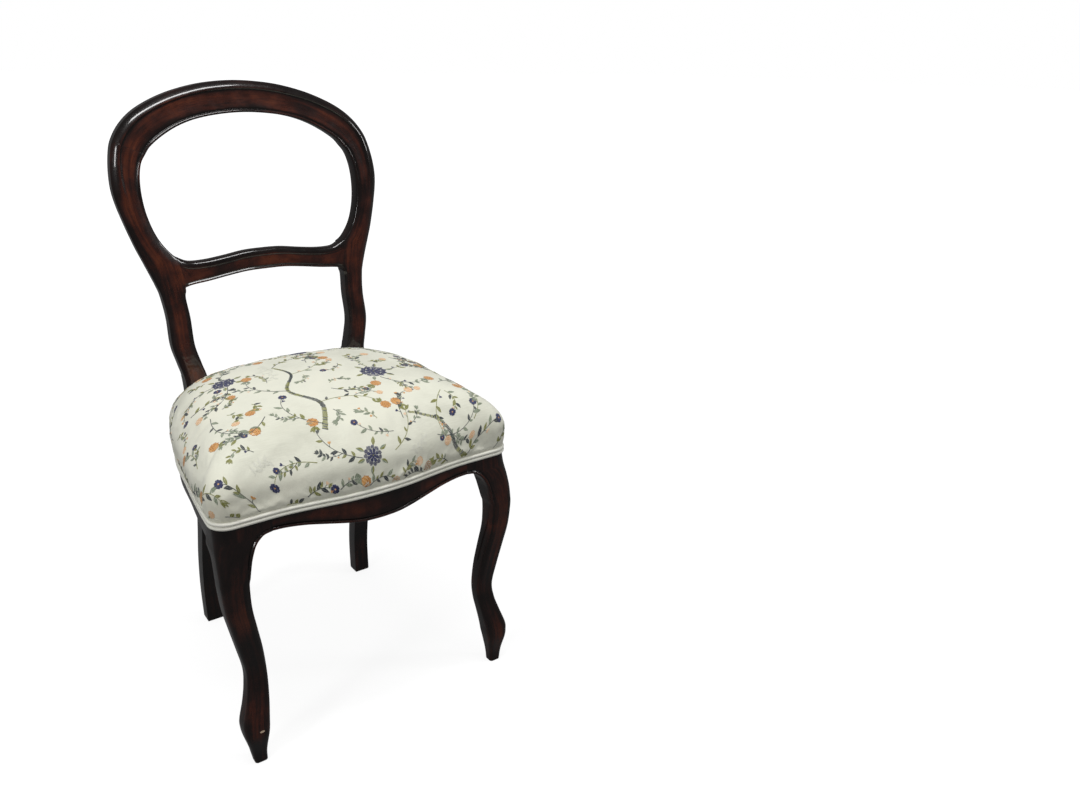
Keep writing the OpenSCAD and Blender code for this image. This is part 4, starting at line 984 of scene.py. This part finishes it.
def inflate(piece, held):
    """A short cloth simulation under pressure, with a cap on how far a point moves."""
    start = points_of(piece.data)
    group = piece.vertex_groups.new(name="held")
    for share in (1.0, 0.5):
        index = np.nonzero(np.isclose(held, share))[0]
        group.add([int(i) for i in index], share, "REPLACE")
    cloth = piece.modifiers.new("cloth", "CLOTH")
    for key, value in {"quality": 4, "mass": 0.25, "tension_stiffness": 12, "compression_stiffness": 12,
                       "shear_stiffness": 6, "bending_stiffness": 0.4, "shrink_min": -0.02,
                       "vertex_group_mass": "held", "use_pressure": True,
                       "uniform_pressure_force": PRESSURE}.items():
        setattr(cloth.settings, key, value)
    cloth.settings.effector_weights.gravity = 0
    cloth.point_cache.frame_start, cloth.point_cache.frame_end = 1, FRAMES
    scene = bpy.context.scene
    for frame_number in range(1, FRAMES + 1):
        scene.frame_set(frame_number)
    move = points_of(evaluated(piece)) - start
    piece.modifiers.clear()
    piece.vertex_groups.clear()
    scene.frame_set(1)
    length = np.linalg.norm(move, axis=1)[:, None] + 1e-9
    set_points(piece.data, start + move / length * (FURTHEST * np.tanh(length / FURTHEST)))


def seat_pad():
    p, f, _, _ = seat_form()
    pad = new_object("seat_cushion", to_model(p), f, COTTON, node_names=["seat_cover", "seat_stuffing"])
    cutters = [post_cutter(1), post_cutter(-1)]
    for size in (0.004, 0.005):
        remesh = pad.modifiers.new("remesh", "REMESH")
        remesh.mode, remesh.voxel_size, remesh.use_smooth_shade = "VOXEL", size, True
        if size == 0.004:
            for cutter in cutters:
                cut = pad.modifiers.new("cut", "BOOLEAN")
                cut.operation, cut.solver, cut.object = "DIFFERENCE", "EXACT", cutter
    applied(pad, cutters)
    z = points_of(pad.data)[:, 2] / MM
    inflate(pad, np.where(z < PAD_FLOOR, 1.0, np.where(z < PAD_FLOOR + 7, 0.5, 0.0)))
    fine = pad.modifiers.new("fine", "SUBSURF")
    fine.levels = 1
    applied(pad)
    paint(pad, COTTON)
    shape_pad(pad)
    pad.data.polygons.foreach_set("use_smooth", [True] * len(pad.data.polygons))
    return pad


def shape_pad(pad):
    """Puckers above the piping, a flat base, and room round the posts."""
    q = points_of(pad.data)
    p = q / MM
    p[:, 1] += CENTRE_Y
    way = p[:, :2] - seat_middle
    turn = np.arctan2(way[:, 1], way[:, 0])
    out = way / (np.linalg.norm(way, axis=1)[:, None] + 1e-9)
    edge = np.exp(-((p[:, 2] - PAD_FLOOR - 9) / 9.0) ** 2)
    folds = np.sin(turn * 31 + 2.2 * np.sin(turn * 3.0))
    folds += 0.8 * np.sin(turn * 53 + 1.0 + 3 * np.sin(turn * 2.0))
    at_front = smoothstep(0.1, 0.8, -out[:, 1]) * 0.6 + 0.4
    p[:, :2] += out * (0.33 * folds * edge * at_front)[:, None]
    p[:, 2] = np.maximum(p[:, 2], LEDGE + 0.6)
    for sign in (1, -1):
        x = p[:, 0] * sign
        lean = np.interp(p[:, 2], *zip(*POST_LEAN))
        low, high, front = POST_IN - 0.6, POST_HALF + 0.6, POST_FRONT_Y - 0.6 + lean
        inside = (x > low) & (x < high) & (p[:, 1] > front) & (p[:, 1] < POST_BACK_Y + 10)
        gaps = np.stack([x - low, high - x, p[:, 1] - front], 1)
        side = gaps.argmin(1)
        for k, axis, wall in ((0, 0, sign * low), (1, 0, sign * high), (2, 1, front)):
            p[:, axis] = np.where(inside & (side == k), wall, p[:, axis])
    set_points(pad.data, to_model(p))


pad = seat_pad()

# The print: thin raised shapes of one colour each, drawn in the flat cloth in millimetres and laid on the seat
CLOTH_MIDDLE = (0.0, 177.0)
REACH = 330
TURNS = 720
RISES = 170


def cloth_map(pad):
    """Seat points and normals at even distances from the middle of the cloth, in every direction."""
    mesh = pad.data
    tree = BVHTree.FromPolygons([v.co for v in mesh.vertices], [tuple(f.vertices) for f in mesh.polygons])
    origin = Vector(to_model([CLOTH_MIDDLE + (PAD_FLOOR + 0.5,)])[0])
    turns = np.linspace(0, math.tau, TURNS + 1)
    rises = math.pi / 2 * (1 - np.linspace(0, 1, RISES)) ** 1.35
    spots, normals = (np.full((TURNS + 1, REACH, 3), np.nan) for _ in range(2))
    for i, turn in enumerate(turns[:-1]):
        line, facing = [], []
        for up in rises:
            way = Vector((math.cos(turn) * math.cos(up), math.sin(turn) * math.cos(up), math.sin(up)))
            hit, normal, _, _ = tree.ray_cast(origin, way)
            if hit is None:
                break
            line.append(hit)
            facing.append(normal if normal.dot(way) > 0 else -normal)
        line, facing = np.array(line), np.array(facing)
        length = np.concatenate([[0], np.cumsum(np.linalg.norm(np.diff(line, axis=0), axis=1))]) / MM
        count = min(REACH, int(length[-1]) + 1)
        at = np.arange(count)
        for k in range(3):
            spots[i, :count, k] = np.interp(at, length, line[:, k])
            normals[i, :count, k] = np.interp(at, length, facing[:, k])
    spots[-1], normals[-1] = spots[0], normals[0]
    return spots, normals


def on_seat(points):
    """Seat points and normals for flat points of the cloth, not a number past its edge."""
    p = np.asarray(points, float)
    far = np.clip(np.hypot(p[:, 0], p[:, 1]), 0, REACH - 1.001)
    turn = (np.arctan2(p[:, 1], p[:, 0]) % math.tau) / math.tau * TURNS
    i, j = np.minimum(turn.astype(int), TURNS - 1), far.astype(int)
    a, b = (turn - i)[:, None], (far - j)[:, None]
    out = [between(between(t[i, j], t[i, j + 1], b), between(t[i + 1, j], t[i + 1, j + 1], b), a)
           for t in (seat_spots, seat_normals)]
    return out[0], out[1] / np.linalg.norm(out[1], axis=1)[:, None]


seat_spots, seat_normals = cloth_map(pad)
shapes = {name: [] for name in ("ink", "olive", "sage", "indigo", "orange", "rust", "peach", "pale")}
draw = random.Random(20)


def patch(colour, points):
    """A small flat shape, seen whole from its middle."""
    shapes[colour].append(("patch", np.asarray(points, float)))


def stroke(colour, points, start, finish=None):
    """A line along points, with its width at the start and at the finish."""
    shapes[colour].append(("line", np.asarray(points, float), start, start if finish is None else finish))


def turned_by(points, angle, place, size=1.0):
    c, s = math.cos(angle) * size, math.sin(angle) * size
    p = np.asarray(points, float)
    return np.stack([p[:, 0] * c - p[:, 1] * s + place[0], p[:, 0] * s + p[:, 1] * c + place[1]], 1)


PETAL_SHARES = ((0.12, 0.12), (0.45, 0.42), (0.8, 0.5), (1, 0.28))
LEAF_SHARES = ((0, 0), (0.18, 0.3), (0.42, 0.5), (0.68, 0.38), (0.88, 0.16), (1, 0))


def leaf(colour, place, angle, length, wide, second=None):
    """A pointed leaf of two halves with a fine gap between them."""
    bend = draw.uniform(-0.12, 0.12)
    for side, shade in ((1, colour), (-1, second or colour)):
        edge = [(x * length, side * (y * wide + 0.1) + bend * length * x * (1 - x) * 2) for x, y in LEAF_SHARES]
        rib = [(x * length, side * 0.12 + bend * length * x * (1 - x) * 2) for x in (0.8, 0.5, 0.2)]
        patch(shade, turned_by(edge + rib, angle, place))


def petal(colour, place, angle, length, wide):
    edge = PETAL_SHARES + ((0.95, 0),) + tuple((x, -y) for x, y in PETAL_SHARES[::-1])
    patch(colour, turned_by([(x * length, y * wide) for x, y in edge], angle, place))


def disc(colour, place, radius, count=8):
    patch(colour, [polar(place, radius, a) for a in np.linspace(0, math.tau, count, endpoint=False)])


def curl(start, angle, length, bend, steps=14):
    """A stem that turns evenly, with its directions."""
    points, ways = [start], [angle]
    for k in range(steps):
        angle += bend / steps * (0.4 + 1.2 * k / steps)
        points.append(polar(points[-1], length / steps, angle))
        ways.append(angle)
    return np.array(points), ways


def star_blossom(place, radius, colour="indigo", heart="orange"):
    turn = draw.uniform(0, 6)
    for k in range(5):
        a = turn + k * math.tau / 5
        petal(colour, place, a, radius, radius * 0.95)
    disc(heart, place, radius * 0.2)


def rose(place, radius, dark="rust", light="orange"):
    """A round blossom of curved strokes, dark ones between light ones."""
    turn = draw.uniform(0, 6)
    disc(light, place, radius * 0.86, 12)
    for ring, count in ((0.92, 9), (0.62, 6), (0.32, 4)):
        for k in range(count):
            a = turn + ring * 3 + k * math.tau / count
            span = math.tau / count * 0.8
            line = [polar(place, radius * ring * (1 - 0.1 * t), a + t * span) for t in np.linspace(0, 1, 5)]
            stroke(dark, line, radius * 0.17, radius * 0.08)


def great_bloom(place, radius, colour="indigo"):
    """A wide flower of three rows of striped petals."""
    turn = draw.uniform(0, 6)
    for low, high, count in ((0.60, 1.0, 11), (0.30, 0.64, 8), (0.04, 0.33, 5)):
        for k in range(count):
            a = turn + low * 4 + k * math.tau / count
            half = math.pi / count * 0.9
            for t in (-0.72, -0.36, 0.0, 0.36, 0.72):
                top = high * (1 - 0.22 * t * t) * draw.uniform(0.93, 1.03)
                way = a + half * t
                line = [polar(place, radius * r, way + 0.05 * t * r) for r in (low, (low + top) / 2, top)]
                stroke(colour, line, radius * 0.035, radius * 0.075)
    disc("olive", place, radius * 0.07)


def bud(place, angle, size, colour):
    stroke("ink", [place, polar(place, size, angle)], 0.5)
    for turn in (-0.35, 0.35):
        petal(colour, polar(place, size * 0.9, angle), angle + turn, size, size * 0.5)


def spray(start, angle, length, bend, leaves="olive", stem="ink", flower=None, size=1.0):
    """A thin stem with leaves at both sides and a flower or leaves at its tip."""
    points, ways = curl(start, angle, length, bend)
    stroke(stem, points, 1.0 * size, 0.55 * size)
    for k in range(2, len(points) - 1, 2):
        side = 1 if k // 2 % 2 else -1
        grown = draw.uniform(0.75, 1.2) * size
        shade = draw.choice((leaves, leaves, "sage", "ink"))
        way = ways[k] + side * draw.uniform(0.6, 1.0)
        if draw.random() < 0.2:
            bud(points[k], way, 4.2 * grown, draw.choice(("orange", "indigo", "peach")))
        else:
            leaf(shade, points[k], way, 11 * grown, 4.4 * grown, shade)
        if draw.random() < 0.3:
            leaf(leaves, points[k], way - side * 1.6, 8 * grown, 3.4 * grown)
    tip, way = points[-1], ways[-1]
    if flower == "rose":
        rose(polar(tip, 8 * size, way), 8.5 * size)
        for turn in (2.4, -2.4, 2.9):
            leaf(leaves, tip, way + turn, 10 * size, 4.5 * size)
    elif flower == "peach":
        rose(polar(tip, 6 * size, way), 7 * size, "orange", "peach")
    elif flower == "star":
        star_blossom(polar(tip, 4 * size, way), 6 * size)
    else:
        for turn in (-0.5, 0, 0.5):
            leaf(leaves, tip, way + turn, 9 * size, 3.8 * size)


def bough(points, wide):
    """A thick branch of hatched bands, dark and olive in turn."""
    rows = smooth(points, 12)
    path = evenly(rows, 2.1)
    for k in range(len(path) - 1):
        way = path[k + 1] - path[k]
        way = way / np.linalg.norm(way)
        side = np.array([-way[1], way[0]])
        half = wide * (1.0 - 0.55 * k / len(path)) * draw.uniform(0.8, 1.1)
        out = side * half + way * 0.7
        shade = "ink" if math.sin(k * 0.13 + wide) > 0.2 else draw.choice(("olive", "olive", "ink"))
        stroke(shade, [path[k] - out, path[k], path[k] + out], 1.55, 1.3)


def faint(start, angle, length, bend):
    points, ways = curl(start, angle, length, bend, 8)
    stroke("pale", points, 1.3, 0.8)
    for k in range(1, 9):
        leaf("pale", points[k], ways[k] + (0.9 if k % 2 else -0.9), 9, 4.5)


# The layout: boughs, long stems, wide flowers, and sprays between them
bough([(-58, -150), (-40, -98), (-66, -46), (-40, 8), (-52, 52)], 3.8)
bough([(168, 64), (128, 82), (96, 120), (46, 128)], 3.4)
bough([(196, -226), (150, -206), (118, -168), (70, -150)], 3.6)
great_blooms = (((72, -36), 21), ((-128, 46), 18), ((14, 118), 16), ((-8, -206), 15), ((200, 40), 14))
for flower_place, wide in great_blooms:
    great_bloom(flower_place, wide)
    for k in range(6):
        a = draw.uniform(0, 0.5) + k * math.pi / 3
        leaf(draw.choice(("olive", "sage", "ink")), polar(flower_place, wide * 0.95, a), a, 13, 5.5,
             draw.choice(("olive", "sage")))
stems = [
    ((-52, 52), 0.9, 92, -1.9, "rose"), ((-40, 8), 0.1, 84, 1.5, "star"),
    ((-66, -46), 2.7, 88, -1.6, "rose"), ((-44, -96), 0.2, 95, -1.3, "rose"),
    ((-56, -140), 2.6, 92, -1.7, "star"), ((72, -58), -1.1, 78, 1.7, "rose"),
    ((93, -36), 0.2, 92, 1.6, "star"), ((72, -14), 1.9, 70, -1.6, "peach"),
    ((-128, 66), 1.2, 82, -1.7, "rose"), ((-146, 46), 3.0, 78, 1.6, "star"),
    ((-128, 28), -1.8, 84, -1.5, "peach"), ((46, 128), 3.3, 76, -1.4, "star"),
    ((96, 120), 1.0, 66, 1.6, "rose"), ((168, 64), -0.9, 88, -1.7, "rose"),
    ((30, -206), 0.5, 86, 1.5, "rose"), ((-24, -206), 2.8, 88, -1.5, "rose"),
    ((140, -120), -2.4, 84, 1.6, "peach"), ((150, -96), 0.6, 76, -1.9, "rose"),
    ((188, -60), 1.9, 70, 1.4, "star"), ((-178, -40), -1.9, 92, 1.6, "rose"),
    ((-196, 6), -0.4, 60, 1.7, "star"), ((-120, -96), -2.2, 84, -1.7, "rose"),
    ((-90, -190), 2.6, 76, 1.5, "star"), ((110, -190), -0.2, 86, 1.6, "star"),
    ((60, -160), 1.7, 64, -1.5, "peach"), ((-60, 112), 2.7, 80, 1.4, "rose"),
    ((-150, 118), -0.2, 56, 1.6, "star"), ((0, 46), 1.4, 60, -1.3, "peach"),
    ((128, 22), -1.0, 52, 1.6, "peach"), ((-10, -66), -0.8, 66, 1.4, "rose"),
    ((236, -30), -1.6, 76, -1.2, "rose"), ((230, 92), 1.2, 66, 1.2, "star"),
    ((-240, 40), 1.5, 72, -1.2, "star"), ((-232, -110), 1.2, 60, 1.2, "rose"),
    ((-206, 110), 0.9, 66, -1.4, "peach"), ((176, -176), 0.9, 66, 1.4, "rose")]
for start, angle, length, bend, flower in stems:
    spray(start, angle, length, bend, draw.choice(("olive", "olive", "sage")),
          draw.choice(("ink", "ink", "olive")), flower, 1.0)
    points, ways = curl(start, angle, length, bend)
    k = draw.choice((5, 8))
    side = draw.choice((1, -1))
    spray(points[k], ways[k] + side * 0.8, length * 0.4, -side * 1.2, draw.choice(("olive", "sage", "ink")),
          "ink", draw.choice((None, "star", None, "peach")), 0.75)


def drawn_points():
    return np.concatenate([shape[1] for group in shapes.values() for shape in group])


def edge_spot(turn, inside):
    """A flat point of the cloth at a distance inside its edge along the piping."""
    count = int(np.isfinite(seat_spots[int(round(turn / math.tau * TURNS)) % TURNS, :, 0]).sum())
    return polar((0, 0), count - inside, turn)


def clear_of(points, others):
    off = points[:, None] - others[None, ::3]
    return float(np.sqrt((off ** 2).sum(-1).min()))


# How near to others a new stem may come, at the piping and in the open, and how many the open gets
EDGE_GAP, OPEN_GAP = 6, 7.5
MOST_TRIES, MOST_SPRAYS = 2500, 110

# Sprays that grow from the piping
taken = drawn_points()
turn = 0.0
while turn < math.tau:
    start = edge_spot(turn, draw.uniform(2, 12))
    side = draw.choice((-1, 1))
    angle = turn + math.pi + side * draw.uniform(0.55, 1.25)
    size, flower = draw.uniform(0.95, 1.2), draw.choice(("rose", "rose", "rose", "star", None, "peach"))
    length = draw.uniform(34, 56)
    points, _ = curl(start, angle, length + 10, side * draw.uniform(0.8, 1.5))
    if clear_of(points[2:], taken) > EDGE_GAP:
        spray(start, angle, length, side * draw.uniform(0.8, 1.5),
              draw.choice(("olive", "olive", "sage", "ink")), draw.choice(("ink", "olive")), flower, size)
        taken = np.concatenate([taken, points])
        turn += 0.06
    turn += 0.03

# Sprays and faint ones where there is room
taken = drawn_points()
tries, kept = 0, 0
while tries < MOST_TRIES and kept < MOST_SPRAYS:
    tries += 1
    start = (draw.uniform(-300, 300), draw.uniform(-290, 260))
    angle, length = draw.uniform(0, 6.28), draw.uniform(24, 58)
    bend = draw.choice((-1, 1)) * draw.uniform(1.0, 1.9)
    points, _ = curl(start, angle, length + 12, bend)
    if clear_of(points[::2], taken) < OPEN_GAP:
        continue
    kept += 1
    if kept % 3 == 0:
        faint(start, angle, length, bend)
    else:
        spray(start, angle, length, bend, draw.choice(("olive", "olive", "sage")),
              draw.choice(("ink", "olive")), draw.choice(("rose", "star", "peach", None, "star", None)),
              draw.uniform(0.75, 0.95))
    taken = np.concatenate([taken, points])


def in_reach(p):
    """Whether all points of a shape lie on the cloth that shows, clear of the posts."""
    spot = on_seat(p)[0]
    if np.isnan(spot).any():
        return False
    x, y, z = abs(spot[:, 0]) / MM, spot[:, 1] / MM + CENTRE_Y, spot[:, 2] / MM
    if (z < PAD_FLOOR + 1.5).any():
        return False
    return not ((x > POST_IN - 6) & (x < POST_HALF + 6) & (y > POST_FRONT_Y - 6)).any()


RAISED, SUNK = 0.26 * MM, 0.4 * MM


def raised_patch(flat):
    """A thin closed form over a flat shape, or nothing where that leaves the cloth."""
    if not in_reach(flat):
        return None
    n = len(flat)
    spot, normal = on_seat(np.concatenate([flat, [flat.mean(0)]]))
    low, faces = n + 1, []
    for k in range(n):
        j = (k + 1) % n
        faces += [(k, j, n), (low + j, low + k, low + n), (j, k, low + k, low + j)]
    return [spot + normal * RAISED, spot - normal * SUNK], faces


def raised_line(flat, wide, end_wide):
    """A thin closed form along a line, as far as that stays on the cloth."""
    flat = evenly(flat, 2.6)
    kept = 0
    while kept < len(flat) and in_reach(flat[kept:kept + 1]):
        kept += 1
    if kept < 2:
        return None
    flat = flat[:kept]
    way = np.gradient(flat, axis=0)
    way /= np.linalg.norm(way, axis=1)[:, None] + 1e-9
    half = between(wide, end_wide, np.linspace(0, 1, kept)) / 2
    side = np.stack([-way[:, 1], way[:, 0]], 1) * half[:, None]
    if not in_reach(np.concatenate([flat - side, flat + side])):
        return None
    left, left_normal = on_seat(flat - side)
    right, right_normal = on_seat(flat + side)
    faces = []
    for k in range(kept - 1):
        for row in range(4):
            a, b = row * kept + k, (row + 1) % 4 * kept + k
            faces.append((a, b, b + 1, a + 1))
    faces += [tuple(row * kept for row in (3, 2, 1, 0)), tuple(row * kept + kept - 1 for row in range(4))]
    return [left + left_normal * RAISED, right + right_normal * RAISED, right - right_normal * SUNK,
            left - left_normal * SUNK], faces


def print_piece(name, finish, drawn):
    points, faces, start = [], [], 0
    for kind, *shape in drawn:
        solid = raised_patch(*shape) if kind == "patch" else raised_line(*shape)
        if solid is not None:
            points += solid[0]
            faces += [tuple(start + i for i in face) for face in solid[1]]
            start += sum(map(len, solid[0]))
    sharpen(new_object(name, np.concatenate(points), faces, finish), SHARP_PRINT)


THREADS = {
    "ink": thread("ink_thread", (0.040, 0.048, 0.055), (0.16, 0.17, 0.15)),
    "olive": thread("olive_thread", (0.20, 0.205, 0.058), (0.36, 0.36, 0.20)),
    "sage": thread("sage_thread", (0.20, 0.235, 0.165), (0.44, 0.47, 0.38)),
    "indigo": thread("indigo_thread", (0.028, 0.030, 0.080), (0.12, 0.13, 0.22)),
    "orange": thread("orange_thread", (0.55, 0.27, 0.085), (0.68, 0.45, 0.22)),
    "rust": thread("rust_thread", (0.33, 0.12, 0.030), (0.50, 0.26, 0.10)),
    "peach": thread("peach_thread", (0.72, 0.50, 0.33), (0.76, 0.65, 0.50)),
    "pale": thread("pale_thread", (0.63, 0.63, 0.54), (0.69, 0.69, 0.61))}
for name, finish in THREADS.items():
    print_piece("print_" + name, finish, shapes[name])

# Double piping
PIPE_Z = LEDGE + 0.3 + CORD_R
pipe_inset = TACK_INSET - 0.3 - 1.4 - 0.3 - CORD_R


def cord_path(path, z):
    p = evenly(path, 4.0)
    return np.concatenate([p, np.full((len(p), 1), z)], 1)


def piping(name, path, nodes):
    lower, upper = cord_path(path, PIPE_Z), cord_path(path, PIPE_Z + 2 * CORD_R)
    part = joined([tube(lower, CORD_R, 14), tube(upper, CORD_R, 14)])
    new_object(name, to_model(part[0]), part[1], PIPING, part[2], node_names=nodes)


front_pipe_path = moved(open_edge, -pipe_inset)
piping("front_piping_cords", front_pipe_path, ["front_piping"])
end = POST_IN - 0.3
back_pipe_path = np.array([(end, BACK_Y - pipe_inset), (-end, BACK_Y - pipe_inset)])
piping("back_piping_cords", back_pipe_path, ["back_piping"])

# Floor, light and camera, in metres
FLOOR_HALF = 40
FLOOR_GLOW = (0.86, 1.0)
SEEN_GLOSSY = 0.1
ROOM_LIGHT = 0.45


def seen_share(tree):
    """1 for what the camera or glass sees, a smaller share for reflections, and 0 for light on the object."""
    path = node(tree, "ShaderNodeLightPath")
    direct = math_node(tree, "MAXIMUM", path.outputs["Is Camera Ray"], path.outputs["Is Transmission Ray"])
    reflected = math_node(tree, "MULTIPLY", path.outputs["Is Glossy Ray"], SEEN_GLOSSY)
    return math_node(tree, "MAXIMUM", direct, reflected)


floor_material, tree, shader = material("pale_floor")
in_gloss = node(tree, "ShaderNodeLightPath").outputs["Is Glossy Ray"]
far = node(tree, "ShaderNodeVectorMath", {0: place_of(tree)}, operation="LENGTH").outputs["Value"]
glow = node(tree, "ShaderNodeMapRange", {
    "Value": far, "From Min": 1.0, "From Max": 4.0, "To Min": FLOOR_GLOW[0], "To Max": FLOOR_GLOW[1]
}).outputs["Result"]
feed(tree, shader, {
    "Base Color": mix(tree, in_gloss, (0.2, 0.2, 0.2), (0.02, 0.02, 0.02)), "Roughness": 0.9,
    "Specular IOR Level": 0.0, "Emission Color": (1, 1, 1, 1),
    "Emission Strength": math_node(tree, "MULTIPLY", glow, seen_share(tree))})
floor_mesh = bpy.data.meshes.new("floor")
floor_corners = [(FLOOR_HALF * x, FLOOR_HALF * y, 0) for x, y in ((-1, -1), (1, -1), (1, 1), (-1, 1))]
floor_mesh.from_pydata(floor_corners, [], [(0, 1, 2, 3)])
floor_mesh.materials.append(floor_material)
floor = bpy.data.objects.new("floor", floor_mesh)
bpy.context.scene.collection.objects.link(floor)

world = bpy.data.worlds.new("studio")
bpy.context.scene.world = world
world.use_nodes = True
tree = world.node_tree
background = tree.nodes["Background"]
background.inputs["Color"].default_value = (1, 1, 1, 1)
glow = math_node(tree, "MAXIMUM", seen_share(tree), ROOM_LIGHT)
path = node(tree, "ShaderNodeLightPath")
glossy = math_node(tree, "MULTIPLY", path.outputs["Is Glossy Ray"], ROOM_LIGHT - SEEN_GLOSSY)
tree.links.new(math_node(tree, "SUBTRACT", glow, glossy), background.inputs["Strength"])


def area_light(name, location, target, size, power):
    data = bpy.data.lights.new(name, "AREA")
    data.shape = "RECTANGLE"
    data.size, data.size_y = size
    data.energy = power
    lamp = bpy.data.objects.new(name, data)
    lamp.location = location
    lamp.rotation_euler = (Vector(target) - Vector(location)).to_track_quat("-Z", "Y").to_euler()
    bpy.context.scene.collection.objects.link(lamp)


area_light("ceiling_light", (-0.1, -0.4, 2.7), (0, 0, 0.4), (1.5, 0.4), 32)
area_light("left_light", (-2.3, -1.0, 2.1), (0, 0, 0.5), (0.45, 0.9), 22)
area_light("right_light", (2.3, -1.4, 2.0), (0, 0, 0.5), (0.4, 0.9), 16)

# The camera was solved from the two chairs in the photograph
camera_data = bpy.data.cameras.new("camera")
camera_data.sensor_width = 36.0
camera_data.lens = 29.79
camera_data.clip_start, camera_data.clip_end = 0.05, 60
camera = bpy.data.objects.new("camera", camera_data)
right = Vector((0.7984, -0.6021, 0.0))
up = Vector((0.2191, 0.2905, 0.9314))
forward = right.cross(up) * -1
up = right.cross(forward * -1) * -1
basis = Matrix((right, up, forward * -1)).transposed()
camera.matrix_world = Matrix.Translation((-0.493, -1.032 - (CENTRE_Y - 4.6) * MM, 0.943)) @ (
    basis @ Matrix.Rotation(0.01972, 3, "Z")).to_4x4()
bpy.context.scene.collection.objects.link(camera)
bpy.context.scene.camera = camera
bpy.context.scene.view_settings.view_transform = "Standard"
